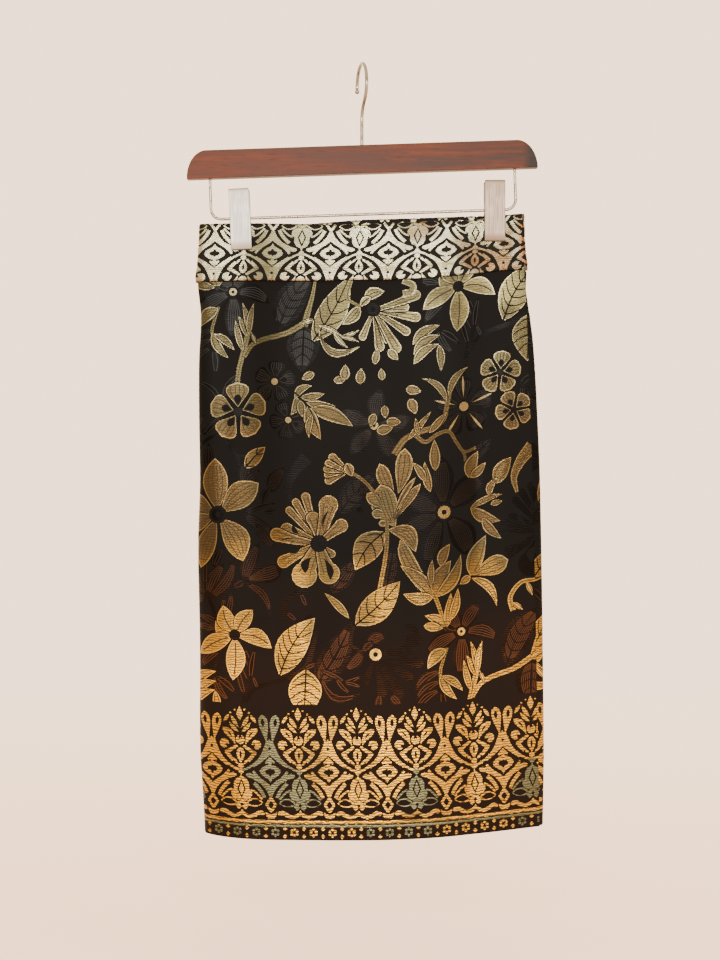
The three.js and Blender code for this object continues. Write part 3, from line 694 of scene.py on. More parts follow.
# one unit of the border: the palmette stands on its middle line, the arches meet half a unit beside it
def borderUnit():
    shapes = []
    half = borderRepeat["width"] / 2

    def one(tone, outline):
        shapes.append((tone, np.asarray(outline, dtype=float), group))

    # a gold piece with a thin gap of ground round it
    def raised(outline, gap=0.9):
        outline = np.asarray(outline, dtype=float)
        if signedArea(outline) < 0:
            outline = outline[::-1]
        tangent = np.roll(outline, -1, axis=0) - np.roll(outline, 1, axis=0)
        tangent /= np.maximum(np.linalg.norm(tangent, axis=1, keepdims=True), 1e-6)
        one("ground", outline + np.stack([tangent[:, 1], -tangent[:, 0]], axis=1) * gap)
        one("gold", outline)

    # an outline given by its right half about a middle line
    def mirrored(middle, rows):
        return [(middle + x, t) for x, t in rows] + [(middle - x, t) for x, t in rows[::-1] if x > 0]

    # points beside a middle line, on the side being drawn
    def beside(middle, *rows):
        return [(middle + side * x, t) for x, t in rows]

    # arches over the half repeat, with a pair of loops on top
    group = "arch"
    for side in (-1, 1):
        tip = half + side * 6.4
        raised(leaf((half + side * 2.6, 96.5), (tip + side * 0.8, 126.4), 9.6, 0, 0.72, 12, 0.6))
        one("ground", leaf((tip - side * 0.4, 113.4), (tip + side * 0.4, 122.6), 3.8, 0, 0.55, 8))
    outer = along([
        (0, 101), (3.2, 99), (5.5, 94), (7.9, 88), (11.5, 82), (16.4, 77.2), (22.5, 73), (29.75, 69.9),
    ], 16)
    inner = [(29.75, 67.2), (23, 70.2), (17.6, 73.4), (16.2, 72.8), (9.6, 77.4), (0.01, 85.4)]
    for side in (-1, 1):
        one("gold", beside(half, *outer, *inner))
    one("gold", mirrored(half, [(0, 102), (1.2, 98.8), (3.4, 101), (4.6, 95), (0, 89)]))
    one("ground", disc((half, 92.2), 1.6, 8))

    # the cap, the pointed ring and the spade shape left open in it
    raised(mirrored(half, [(0, 83.8), (2.4, 81.4), (5.2, 78.2), (4.4, 76.6), (1.6, 77.8), (1.2, 75.0)]), 0.7)
    one("gold", mirrored(half, [
        (0, 75.8), (4.2, 75.2), (8.4, 72.6), (11.0, 69.2), (8.6, 65.2), (4.4, 62.4), (2.0, 61.2), (0, 57.8),
    ]))
    one("ground", mirrored(half, [
        (0, 72.8), (1.0, 71.2), (3.6, 71.0), (5.4, 68.8), (4.4, 66.8), (1.4, 66.0), (1.2, 64.6), (0, 63.6),
    ]))

    # forked stems that rise to both sides of the ring, and the bars beside them
    for side in (-1, 1):
        one("gold", beside(
            half, (0, 42), (0, 54.6), (4.4, 58.4), (10.4, 62.6), (14.2, 66.6), (16.6, 69.8), (18.4, 68.6),
            (17.0, 65.4), (21.4, 67.2), (25.0, 65.4), (24.6, 63.2), (18.2, 61.0), (9.7, 56.4), (4.3, 50.0),
            (1.4, 43.6),
        ))
        raised(stem(beside(half, (6.4, 42.4), (9.0, 47.8), (12.6, 52.6), (16.8, 57.0)), 3.4, 3.8, 10), 0.8)

    # the palmette at the foot, with a lozenge in it
    group = "palmette"
    raised(mirrored(0, [
        (0, 66.0), (1.2, 62.8), (5.4, 60.6), (7.8, 56.0), (7.6, 52.0), (8.4, 49.4), (10.4, 48.6),
        (10.6, 44.6), (8.6, 41.0), (4.6, 39.0), (0, 38.2),
    ]))
    one("ground", [(0, 40.8), (-4.4, 50.5), (0, 61.6), (4.4, 50.5)])
    one("gold", [(0, 43.8), (-2.7, 50.5), (0, 58.0), (2.7, 50.5)])
    one("gold", disc((0, 68.4), 2.8, 8))
    for side in (-1, 1):
        raised(stem(beside(0, (9.4, 50.0), (13.2, 48.4), (17.2, 44.8), (20.8, 40.6)), 1.8, 2.0, 8), 0.5)
        raised(leaf(*beside(0, (3.8, 35.8), (21.6, 37.4)), 8.6, side * 0.8, 0.5, 12, 0.7), 0.5)
        one("ground", leaf(*beside(0, (6.2, 36.2), (20.4, 37.0)), 6.2, side * 0.6, 0.52, 10, 0.75))
    raised(mirrored(0, [(0, 40.0), (4.6, 37.4), (6.4, 33.4), (3.6, 29.6), (0, 32.6)]), 0.5)
    one("ground", disc((0, 34.8), 2.1, 4))

    # a diamond at the foot of each arch, then the waved line and a cup under each diamond
    group = "foot"
    raised(mirrored(half, [(0, 44.2), (2.6, 40.8), (6.0, 35.6), (1.8, 28.8), (0, 27.8)]), 0.6)
    one("ground", [(half - 3.2, 35.4), (half, 39.6), (half + 3.2, 35.4), (half, 31.2)])
    for side in (-1, 1):
        line = beside(0, (1.0, 26.4), (3.6, 24.6), (8.0, 23.2), (13, 24.6), (17.6, 27.2), (21.0, 26.6))
        one("gold", stem(line, 3.0, 4.4, 16))
        one("gold", disc(line[-1], 2.2, 10))
    one("gold", [(-2.2, 26.6), (0, 30.2), (2.2, 26.6), (0, 24.0)])
    one("gold", mirrored(half, [(0, 25.6), (3.2, 26.4), (5.8, 28.2), (5.4, 24.6), (3.2, 21.9)]))

    # the finial and the leaves about its stem
    group = "spray"
    raised(mirrored(0, [(0, 134.2), (1.8, 130.4), (3.4, 126.4), (2.0, 123.0), (0, 119.8)]), 0.5)
    for side in (-1, 1):
        one("gold", disc((side * 4.9, 130.6), 0.95, 6))
        one("gold", disc((side * 9.5, 127.2), 1.05, 6))
        one("gold", leaf(*beside(0, (11.0, 125.4), (16.6, 117.6)), 3.4, 0, 0.5, 8, 0.7))
        raised(leaf(*beside(0, (1.0, 112.4), (8.9, 124.6)), 4.0, side * -0.7, 0.55, 8), 0.6)
        raised(leaf(*beside(0, (1.2, 107.8), (11.0, 118.0)), 3.8, side * -0.8, 0.52, 8), 0.6)
        raised(leaf(*beside(0, (5.2, 94.8), (17.8, 111.8)), 7.6, side * 2.4, 0.66, 12, 0.7), 0.6)
        one("ground", leaf(*beside(0, (8.4, 101.0), (14.0, 108.6)), 1.9, side * 1.3, 0.6, 7))
        raised(disc((side * 16.4, 95.8), 4.8, 12), 0.5)
        one("ground", leaf(*beside(0, (15.4, 96.2), (11.2, 92.2)), 3.6, 0, 0.6, 7))
        raised(stem(beside(0, (3.2, 94.2), (9.2, 90.2), (15.4, 86.0)), 2.4, 4.2, 8), 0.6)
        raised(stem(beside(0, (14.6, 87.6), (11.4, 83.2), (7.6, 79.0)), 4.2, 3.2, 8), 0.4)
        one("gold", leaf(*beside(0, (2.6, 75.6), (7.0, 81.0)), 2.6, side * -0.5, 0.5, 7))
    raised(disc((0, 100.2), 4.6, 12), 0.6)
    one("ground", leaf((0, 99.4), (0, 106.0), 3.4, 0, 0.5, 8))
    one("gold", leaf((0, 98.6), (0, 102.4), 1.4, 0, 0.4, 6))

    # a plain bud between the arms
    raised(leaf((0, 76.6), (0, 92.8), 8.4, 0, 0.6, 12, 0.7), 0.7)
    one("ground", leaf((0, 81.0), (0, 89.6), 2.4, 0, 0.5, 8))
    raised(disc((0, 73.9), 2.9, 10), 0.5)
    return shapes


border = borderUnit()
print("stage: motifs drawn,", len(border), "in a border unit,", len(field), "in the flower repeat")


def rowsBetween(low, high, step):
    return np.linspace(low, high, max(2, int(round((high - low) / step)) + 1))


hem = {
    "stripes": (("gold", 16.6, 20.0), ("pale", 13.1, 15.5)),
    "flowerEvery": 19.4, "flowersAt": 7.6, "petals": 6,
}


# stripes and the chain of small flowers under the border
def hemStripes(start, end, shift):
    shapes = []
    places = rowsBetween(start, end, 5.0)
    for tone, low, high in hem["stripes"]:
        shapes.append((tone, np.array([(x, low) for x in places] + [(x, high) for x in places[::-1]])))
    period = hem["flowerEvery"]
    for i in range(math.floor(start / period), math.ceil(end / period) + 1):
        centre = (i * period + 10 + shift, hem["flowersAt"])
        tone = "pale" if math.sin((centre[0] - shift) / 24) > -0.1 else "gold"
        for k in range(hem["petals"]):
            base, tip = [polar(centre, reach, k * math.pi / 3 + 0.52) for reach in (1.3, 4.7)]
            shapes.append((tone, leaf(base, tip, 3.0, 0, 0.6, 5, 0.7)))
        for side in (-1, 1):
            shapes.append(("gold", disc((centre[0] + period / 2, centre[1] + side * 3.8), 2.2, 4)))
    return shapes


def fieldShapes(start, end, top, shift):
    shapes = []
    low = fieldRepeat["from"]
    rowX, rowT = fieldRepeat["row"]
    for tones, extra in ((shadowTones, fieldRepeat["halfDrop"]), (goldTones, 0.0)):
        for row in range(-1, 2):
            for column in range(-3, 4):
                move = (column * fieldRepeat["across"] + row * rowX + extra + shift, row * rowT)
                for tone, outline in field:
                    placed = outline + move
                    if placed[:, 0].max() < start or placed[:, 0].min() > end:
                        continue
                    foot = placed[:, 1].min()
                    if placed[:, 1].max() < low + 0.5 or foot > top:
                        continue
                    shapes.append((tones[tone], clipped(placed, low) if foot < low else placed))
    return shapes


def borderShapes(start, end, shift):
    shapes = []
    width = borderRepeat["width"]
    first = math.floor((start - shift - borderRepeat["unitAt"]) / width) - 1
    last = math.ceil((end - shift - borderRepeat["unitAt"]) / width) + 1
    for i in range(first, last + 1):
        # painted reflection: whole pieces of the border are painted grey-green, for their duller sheen
        paleArch = i % borderRepeat["paleArch"] == borderRepeat["paleArch"] - 1
        pale = {"arch": paleArch, "palmette": i % borderRepeat["palePalmette"] == 0}
        middle = borderRepeat["unitAt"] + shift + i * width
        for tone, outline, group in border:
            if tone == "gold" and pale.get(group):
                tone = "pale"
            placed = outline + (middle, 0)
            placed[:, 0] += borderRepeat["lean"] * (placed[:, 1] - borderRepeat["leanFrom"])
            if placed[:, 0].max() >= start and placed[:, 0].min() <= end:
                shapes.append((tone, placed))
    return shapes


# keep what of an outline lies above a height
def clipped(outline, low):
    result = []
    count = len(outline)
    for i in range(count):
        a = outline[i]
        b = outline[(i + 1) % count]
        if a[1] >= low:
            result.append(a)
        if (a[1] >= low) != (b[1] >= low):
            share = (low - a[1]) / (b[1] - a[1])
            result.append(a + (b - a) * share)
    return np.array(result)


# paint outlines over each other on a flat cloth, later ones on top, and cut it into triangles
def paint(outline, grid, lines, shapes):
    points, faces, tones = [], [], []
    for tone, shape in [("ground", outline), *shapes]:
        area = signedArea(shape)
        if tone == "none" or abs(area) < 0.2:
            continue
        if area < 0:
            shape = shape[::-1]
        first = len(points)
        points.extend(map(tuple, shape))
        faces.append(list(range(first, len(points))))
        tones.append(tone)
    points.extend(map(tuple, grid))
    edges = []
    for line in lines:
        first = len(points)
        points.extend(line)
        edges += [(i, i + 1) for i in range(first, len(points) - 1)]
    cut = delaunay_2d_cdt([Vector(p) for p in points], edges, faces, 1, 1e-3, True)
    places, triangles, covers = cut[0], cut[2], cut[5]
    inside = [i for i, over in enumerate(covers) if 0 in over]
    kept = np.array([triangles[i] for i in inside])
    used, numbers = np.unique(kept, return_inverse=True)
    toneOf = [tones[max(covers[i])] for i in inside]
    return np.array([tuple(places[i]) for i in used]), numbers.reshape(kept.shape).tolist(), toneOf


# painted reflection: the metal thread is painted grey-green at the waist through bronze to gold at the hem,
# for the key light and warm backdrop it reflects; the other cloth tones are graded by height on the same
# ramp
def clothTones(tree, place, top, middle, foot):
    sway = times(tree, mathNode(tree, "SUBTRACT", noiseNode(tree, place, 9.0, 2.0), 0.5), 0.16)
    level = rangeNode(tree, plus(tree, partOf(tree, place, "Z"), sway), -0.80, -0.22)
    stops = [(0.0, foot), (0.3, foot), (0.52, middle), (0.72, middle), (0.88, top), (1.0, top)]
    return level, rampNode(tree, level, stops)


def ribs(tree, across, pitch, distortion):
    spot = addNode(tree, "ShaderNodeUVMap", {}, uv_map="cloth").outputs["UV"]
    inputs = {"Vector": spot, "Scale": math.pi / (10 * pitch * mm), "Distortion": distortion}
    wave = addNode(tree, "ShaderNodeTexWave", inputs, wave_type="BANDS", bands_direction=across)
    return wave.outputs["Fac"]


metalThread = {
    "silver": "403d27", "bronze": "3b2f17", "gold": "ad822c", "green": "2e301d", "bright": "7a7650",
    "shade": "1e1006", "metal": 0.9, "rough": 0.25, "pitch": 2.6, "lines": 0.92, "sway": 7.0,
}
rimThread = {
    **metalThread, "silver": "66624b", "bronze": "5f4f2e", "gold": "bf9439", "green": "54543f",
    "bright": "a5a27d", "pitch": 1.4, "lines": 0.15, "sway": 2.0,
}
paleThread = {
    **metalThread, "silver": "4b4d38", "bronze": "4b4d38", "gold": "51523a", "green": "66684f",
    "lines": 0.7, "pitch": 2.4,
}
tuckThread = {
    "silver": "8e8e76", "bronze": "8a866a", "gold": "6e4720", "green": "2e2f1a", "bright": "a5a592",
    "shade": "2c2418", "metal": 0.9, "rough": 0.22, "pitch": 2.2, "lines": 0.5, "sway": 4.0,
}


def makeMetalThread(name, look, paintedReflection=None):
    material, tree, place = newMaterial(name)
    level, tone = clothTones(tree, place, look["silver"], look["bronze"], look["gold"])
    patch = noiseNode(tree, place, 15.0, 3.0)
    # painted reflection: noise patches tint the thread grey-green, for the duller sheen where the cloth
    # waves
    tone = mixColors(tree, rangeNode(tree, patch, 0.54, 0.64, 0.0, 0.6), tone, look["green"])
    # painted highlight: below the waist tuck the thread is painted lighter, most of all right of the middle,
    # where it catches the studio light
    shine = rangeNode(tree, partOf(tree, place, "X"), -0.07, 0.03)
    shine = times(tree, shine, rangeNode(tree, partOf(tree, place, "Z"), -0.34, -0.25, 0.0, 0.85))
    shine = times(tree, shine, rangeNode(tree, patch, 0.44, 0.6))
    tone = mixColors(tree, shine, tone, look["bright"])
    floats = ribs(tree, "Y", look["pitch"], look["sway"])
    fine = ribs(tree, "Y", 0.7, 0.6)
    amount = rangeNode(tree, level, 0.2, 0.7, look["lines"], look["lines"] * 0.55)
    tone = mixColors(tree, times(tree, rangeNode(tree, floats, 0.5, 0.9), amount), tone, look["shade"])
    speck = rangeNode(tree, noiseNode(tree, place, 700.0, 1.0), 0.54, 0.7, 0.0, 0.4)
    tone = mixColors(tree, speck, tone, look["shade"])
    if paintedReflection:
        tone = paintedReflection(tree, place, tone, look)
    height = plus(tree, times(tree, floats, -0.7), times(tree, fine, 0.3))
    return finished(material, {
        "Base Color": tone,
        "Metallic": look["metal"],
        "Roughness": rangeNode(tree, patch, 0.3, 0.7, look["rough"] - 0.06, look["rough"] + 0.1),
        "Normal": bumpNode(tree, height, 0.5, 0.0003),
    })


# painted reflection: the waist tuck is painted duller and coppery towards its right, along its foot and at
# its end, for the warm backdrop its metal thread reflects at the fold
def tuckPaintedReflection(tree, place, tone, look):
    aside = partOf(tree, place, "X")
    drift = plus(tree, noiseNode(tree, place, 16.0, 3.0), times(tree, aside, 1.1))
    foot = rangeNode(tree, partOf(tree, place, "Z"), -0.2190, -0.2225, 0.0, 0.75)
    end = rangeNode(tree, aside, 0.160, 0.166, 0.0, 0.9)
    warm = mathNode(tree, "MAXIMUM", rangeNode(tree, drift, 0.6, 0.82, 0.0, 0.8), foot)
    tone = mixColors(tree, rangeNode(tree, drift, 0.55, 0.68, 0.0, 0.8), tone, look["green"])
    return mixColors(tree, mathNode(tree, "MAXIMUM", warm, end), tone, look["gold"])


bindThread = {"silver": "16140f", "bronze": "160f08", "gold": "2e180a", "shade": "0e0a07"}


# the dark thread that binds the metal floats down
def makeBindThread(name, look):
    material, tree, place = newMaterial(name)
    tone = clothTones(tree, place, look["silver"], look["bronze"], look["gold"])[1]
    fine = ribs(tree, "X", 0.8, 1.0)
    return finished(material, {
        "Base Color": mixColors(tree, rangeNode(tree, fine, 0.3, 1.0, 0.0, 0.4), tone, look["shade"]),
        "Roughness": 0.5,
        "Specular IOR Level": 0.15,
        "Normal": bumpNode(tree, fine, 0.4, 0.0002),
    })


satin = {"top": "030303", "foot": "110805", "glint": "0c0c0c", "rough": 0.52}


def makeSatin(name, look):
    material, tree, place = newMaterial(name)
    tone = clothTones(tree, place, look["top"], look["top"], look["foot"])[1]
    fine, coarse = ribs(tree, "X", 0.6, 0.5), ribs(tree, "Y", 0.9, 0.8)
    cloud = noiseNode(tree, place, 7.0, 3.0)
    tone = mixColors(tree, rangeNode(tree, cloud, 0.4, 0.75, 0.0, 0.3), tone, look["glint"])
    tone = mixColors(tree, rangeNode(tree, coarse, 0.5, 1.0, 0.0, 0.25), tone, look["glint"])
    height = plus(tree, times(tree, fine, 0.6), times(tree, coarse, 0.4))
    return finished(material, {
        "Base Color": tone,
        "Specular IOR Level": 0.05,
        "Roughness": rangeNode(tree, cloud, 0.3, 0.7, look["rough"] - 0.05, look["rough"] + 0.1),
        "Sheen Weight": 0.002,
        "Sheen Roughness": 0.35,
        "Normal": bumpNode(tree, height, 0.3, 0.00015),
    })


shadowThread = {"top": "020202", "middle": "030202", "foot": "120904"}
glintThread = {"top": "1e1f1f", "middle": "140f0b", "foot": "452a1b"}


# dark floats: fine lines a little lighter or darker than the satin
def makeShadowThread(name, look, share):
    material, tree, place = newMaterial(name)
    tone = clothTones(tree, place, *look.values())[1]
    glints = clothTones(tree, place, *glintThread.values())[1]
    lines = ribs(tree, "Y", 2.0, 6.0)
    seen = rangeNode(tree, noiseNode(tree, place, 24.0, 3.0), 0.44, 0.62, 0.05, 1.0)
    seen = times(tree, seen, rangeNode(tree, lines, 0.5, 1.0, 0.0, share))
    return finished(material, {
        "Base Color": mixColors(tree, seen, tone, glints),
        "Metallic": 0.3,
        "Roughness": 0.32,
        "Specular IOR Level": 0.04,
        "Normal": bumpNode(tree, lines, 0.25, 0.0002),
    })


reverse = {"top": "262421", "foot": "33271b", "float": "66522f"}


def makeReverse(name, look):
    material, tree, place = newMaterial(name)
    tone = clothTones(tree, place, look["top"], look["top"], look["foot"])[1]
    floats = ribs(tree, "Y", 1.3, 3.0)
    return finished(material, {
        "Base Color": mixColors(tree, rangeNode(tree, floats, 0.6, 1.0, 0.0, 0.5), tone, look["float"]),
        "Roughness": 0.7,
        "Normal": bumpNode(tree, floats, 0.6, 0.0004),
    })


panelFinish = {
    "ground": makeSatin("satin ground", satin),
    "gold": makeMetalThread("metal thread", metalThread),
    "rim": makeMetalThread("metal thread at the edges", rimThread),
    "pale": makeMetalThread("grey-green thread and painted dull sheen", paleThread),
    "shadow": makeShadowThread("shadow thread", shadowThread, 0.6),
    "bind": makeBindThread("binding thread", bindThread),
    "glint": makeShadowThread("glinting thread", glintThread, 0.2),
    "reverse": makeReverse("reverse of the cloth", reverse),
}
tuckSatin = {**satin, "top": "0d0d0c", "foot": "0d0d0c"}
oliveThread = {**tuckThread, "silver": "6c6c54", "green": "43442e"}
tuckFinish = {
    **panelFinish,
    "ground": makeSatin("satin of the waist tuck", tuckSatin),
    "gold": makeMetalThread("bright thread of the waist tuck", tuckThread, tuckPaintedReflection),
    "pale": makeMetalThread("olive thread of the waist tuck", oliveThread, tuckPaintedReflection),
}
print("stage: cloth finishes ready")


# links a piece, has it ride on the one body and stand for its solid
def settle(piece, node):
    bpy.context.collection.objects.link(piece)
    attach(piece, "root")
    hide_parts(node)


threadOrder = ["ground", "gold", "rim", "pale", "shadow", "bind", "glint", "reverse"]


# the outer skin carries the motifs; the reverse is a plainer skin one cloth wall further in
def clothPiece(name, node, placeOf, cut, shapes, finish, wall):
    outline, grid, lines = cut
    places, triangles, tones = paint(outline, grid, lines, shapes)
    backPlaces, backTriangles, _ = paint(outline, grid, lines, [])

    def inwards(flatPlaces):
        s, t = flatPlaces[:, 0], flatPlaces[:, 1]
        alongS = placeOf(s + 0.3, t) - placeOf(s - 0.3, t)
        alongT = placeOf(s, t + 0.3) - placeOf(s, t - 0.3)
        normal = np.cross(alongS, alongT)
        normal /= np.maximum(np.linalg.norm(normal, axis=1, keepdims=True), 1e-9)
        return placeOf(s, t) - normal * wall

    outer = placeOf(places[:, 0], places[:, 1])
    edge = placeOf(outline[:, 0], outline[:, 1])
    parts = [outer, inwards(backPlaces), edge, inwards(outline)]
    starts = np.cumsum([0] + [len(part) for part in parts])
    faces = [list(triangle) for triangle in triangles]
    faces += [[starts[1] + i for i in triangle[::-1]] for triangle in backTriangles]
    count = len(outline)
    for i in range(count):
        k = (i + 1) % count
        faces.append([starts[2] + k, starts[2] + i, starts[3] + i, starts[3] + k])
    flatAll = np.vstack([places, backPlaces, outline, outline])
    mesh = bpy.data.meshes.new(name)
    mesh.from_pydata((np.vstack(parts) * mm).tolist(), [], faces)
    for tone in threadOrder:
        mesh.materials.append(finish[tone])
    toneOf = [threadOrder.index(tone) for tone in tones + ["reverse"] * len(backTriangles)] + [0] * count
    mesh.polygons.foreach_set("material_index", toneOf)
    mesh.polygons.foreach_set("use_smooth", [True] * len(faces))
    uv = mesh.uv_layers.new(name="cloth")
    corners = np.array([i for face in faces for i in face])
    uv.data.foreach_set("uv", (flatAll[corners] * mm).ravel())
    piece = bpy.data.objects.new(name, mesh)
    settle(piece, node)
    print("stage:", name, "woven,", len(faces) + count, "triangles")


# outline, inner points and fold lines of a flat cloth whose side edges wander with the height
def clothFlat(startOf, endOf, high, step, foldAt):
    levels = rowsBetween(0, high, step)
    foot = rowsBetween(startOf(0), endOf(0), step)
    head = rowsBetween(startOf(high), endOf(high), step)
    outline = [(s, 0) for s in foot]
    outline += [(endOf(t), t) for t in levels[1:-1]]
    outline += [(s, high) for s in head[::-1]]
    outline += [(startOf(t), t) for t in levels[1:-1][::-1]]
    grid = []
    for t in levels[1:-1]:
        start, end = startOf(t), endOf(t)
        for s in rowsBetween(start, end, step)[1:-1]:
            if start + 0.8 < s < end - 0.8 and (foldAt is None or abs(s - foldAt(t)) > 8):
                grid.append((s, t))
    lines = []
    if foldAt is not None:
        for offset in (-6.6, -4.2, -2.4, -1.2, -0.4, 0, 0.4, 1.2, 2.4, 4.2, 6.6):
            lines.append([(foldAt(t) + offset, t) for t in rowsBetween(1.2, high - 1.2, 3.0)])
    return np.array(outline), np.array(grid), lines


# where a fold or the free edge lies, at a length up the cloth from the hem
def lineOf(name):
    def at(t):
        drop = garment["footDrop"] + (1 - t / garment["clothLength"]) * garment["sideLength"]
        return float(sectionAt(name, drop))
    return at


leftFold, rightFold, freeEdge = lineOf("left"), lineOf("right"), lineOf("free")
seam, apart = garment["seamInset"], garment["apart"]
panelTop = garment["clothLength"] + garment["underTuck"]
panelStep = 5.6

# flat is the cut in metres; the cloth runs from one edge to the other, and turns at the fold
panels = {
    "over-front": {
        "node": "front_panel", "cloth": "over", "flat": (0.368, 0.58), "shift": 0.0,
        "from": lambda t: leftFold(t) - seam + apart, "to": freeEdge,
        "top": panelTop, "step": panelStep, "fold": leftFold,
    },
    "under-lap": {
        "node": "under_panel", "cloth": "lap", "flat": (0.112, 0.578), "shift": -13.4,
        "from": lambda t: rightFold(t) - garment["lapReach"], "to": lambda t: rightFold(t) + seam - apart,
        "top": garment["clothLength"] - 0.4, "step": panelStep, "fold": rightFold,
    },
    "back-of-cloth": {
        "node": "back_panel", "cloth": "back", "flat": (0.325, 0.58), "shift": 0.0,
        "from": lambda t: backOrigin - rightFold(t) + seam, "to": lambda t: backOrigin - leftFold(t) - seam,
        "top": panelTop, "step": panelStep + 0.6, "fold": None,
    },
}


def makePanel(name, look):
    cut = clothFlat(look["from"], look["to"], look["top"], look["step"], look["fold"])
    start, end = cut[0][:, 0].min(), cut[0][:, 0].max()
    shift = look["shift"]
    shapes = fieldShapes(start, end, panelTop, 2 * shift) + borderShapes(start, end, shift)
    shapes += hemStripes(start, end, shift)
    clothPiece(
        name, look["node"], lambda s, t: panelPlace(look["cloth"], s, t),
        cut, shapes, panelFinish, garment["wall"],
    )


for name, look in panels.items():
    makePanel(name, look)

left, right = [float(sectionAt(name, 30.0)) for name in ("left", "right")]
tucks = {
    "waist-tuck-front": {
        "node": "band_front", "cloth": "over", "flat": (0.349, 0.074),
        "from": left - seam + apart, "to": garment["bandEnd"], "fold": left,
    },
    "waist-tuck-under": {
        "node": "band_under", "cloth": "lap", "flat": (0.041, 0.074),
        "from": garment["bandLapStart"], "to": right + seam - apart, "fold": right,
    },
    "waist-tuck-back": {
        "node": "band_back", "cloth": "back", "flat": (0.305, 0.074),
        "from": backOrigin - right + seam, "to": backOrigin - left - seam, "fold": None,
    },
}


def makeTuck(name, look):
    start, end, fold = look["from"], look["to"], look["fold"]
    heights = -tuckProfile[:, 0]
    low, high = float(heights[-1]), float(heights[0])
    across = rowsBetween(start, end, 3.0)
    down = sorted({round(float(w), 3) for w in (*heights, *rowsBetween(low, high, 2.4))})
    outline = [(s, low) for s in across] + [(end, w) for w in down[1:-1]]
    outline += [(s, high) for s in across[::-1]] + [(start, w) for w in down[1:-1][::-1]]
    inner = set(across[1:-1])
    if fold is not None:
        inner = {s for s in inner if abs(s - fold) > 5}
        inner |= {fold + side * offset for offset in (0, 0.4, 1.2, 2.4, 4.2) for side in (-1, 1)}
    grid = [(s, w) for s in sorted(inner) for w in down[1:-1] if start + 0.5 < s < end - 0.5]
    shapes = []
    for tone, shape in borderShapes(start, end, tuck["shift"]):
        laid = np.stack([shape[:, 0], -(shape[:, 1] - tuck["from"]) / tuck["stretch"]], axis=1)
        shapes.append((tone, laid))
    clothPiece(
        name, look["node"], lambda s, w: bandPlace(look["cloth"], s, -w),
        (np.array(outline), np.array(grid), []), shapes, tuckFinish, tuck["wall"],
    )


for name, look in tucks.items():
    makeTuck(name, look)


walnut = {"light": "50230f", "middle": "36170a", "dark": "180904", "tip": "050201"}


def makeWalnut(name, look):
    material, tree, place = newMaterial(name)
    boards = stretched(tree, place, (7.0, 120.0, 120.0))
    grain = noiseNode(tree, boards, 1.6, 6.0, Roughness=0.62, Distortion=0.5)
    pores = noiseNode(tree, stretched(tree, place, (60.0, 900.0, 900.0)), 1.0, 3.0)
    aside = partOf(tree, place, "X")
    tone = rampNode(tree, grain, [(0.28, look["dark"]), (0.5, look["middle"]), (0.72, look["light"])])
    # painted light: the bar is painted lighter towards its left end
    tone = mixColors(tree, rangeNode(tree, aside, -0.18, 0.1, 0.35, 0.0), tone, look["light"])
    tone = mixColors(tree, rangeNode(tree, pores, 0.56, 0.7, 0.0, 0.55), tone, look["dark"])
    edge = plus(tree, aside, times(tree, grain, 0.012))
    return finished(material, {
        "Base Color": mixColors(tree, rangeNode(tree, edge, 0.172, 0.181, 0.0, 0.85), tone, look["tip"]),
        "Roughness": rangeNode(tree, grain, 0.3, 0.7, 0.42, 0.54),
        "Specular IOR Level": 0.15,
        "Coat Weight": 0.04,
        "Coat Roughness": 0.3,
        "Normal": bumpNode(tree, pores, 0.25, 0.0002),
    })


wireTones = {"dark": "6f6a63", "light": "8c877f"}


def makeWireMetal(name, look):
    material, tree, place = newMaterial(name)
    wear = noiseNode(tree, place, 160.0, 4.0)
    return finished(material, {
        "Base Color": rampNode(tree, wear, [(0.3, look["dark"]), (0.7, look["light"])]),
        "Metallic": 1.0,
        "Roughness": rangeNode(tree, wear, 0.3, 0.7, 0.12, 0.24),
        "Normal": bumpNode(tree, wear, 0.08, 0.0001),
    })


plateTones = {"dark": "8d8a85", "light": "9e9b96", "right": "66523f"}


def makePlateMetal(name, look):
    material, tree, place = newMaterial(name)
    lines = noiseNode(tree, stretched(tree, place, (900.0, 900.0, 12.0)), 1.0, 3.0)
    tone = rampNode(tree, noiseNode(tree, place, 40.0, 2.0), [(0.3, look["dark"]), (0.7, look["light"])])
    # painted reflection: the plates right of the middle are painted a darker, warmer brown-grey
    right = rangeNode(tree, partOf(tree, place, "X"), 0.0, 0.1, 0.0, 0.75)
    return finished(material, {
        "Base Color": mixColors(tree, right, tone, look["right"]),
        "Metallic": 0.75,
        "Roughness": rangeNode(tree, lines, 0.3, 0.7, 0.34, 0.5),
        "Normal": bumpNode(tree, lines, 0.12, 0.0001),
    })


woodFinish = makeWalnut("walnut", walnut)
wireFinish = makeWireMetal("polished wire", wireTones)
plateFinish = makePlateMetal("brushed plate", plateTones)

hanger = {
    "middle": (0.9, 0.0, -97.3), "tilt": 1.9, "length": 361.0, "height": 29.0, "depth": 13.0,
    "shoulder": 21.0, "edge": 2.4, "socket": 12.0,
    "wire": 1.5, "halfSpan": 157.0, "drop": 56.1, "corner": 10.5,  # the U of wire under the bar
}


def leaning(degrees):
    return Matrix.Rotation(-math.radians(degrees), 4, "Y")


hangerPlace = Matrix.Translation(Vector(hanger["middle"]) * mm) @ leaning(hanger["tilt"])


def addPiece(name, mesh, finish, node, bevel):
    mesh.materials.append(finish)
    piece = bpy.data.objects.new(name, mesh)
    rounded = piece.modifiers.new("edges", "BEVEL")
    rounded.width = bevel * mm
    rounded.segments = 4
    rounded.limit_method = "ANGLE"
    rounded.angle_limit = math.radians(40)
    settle(piece, node)


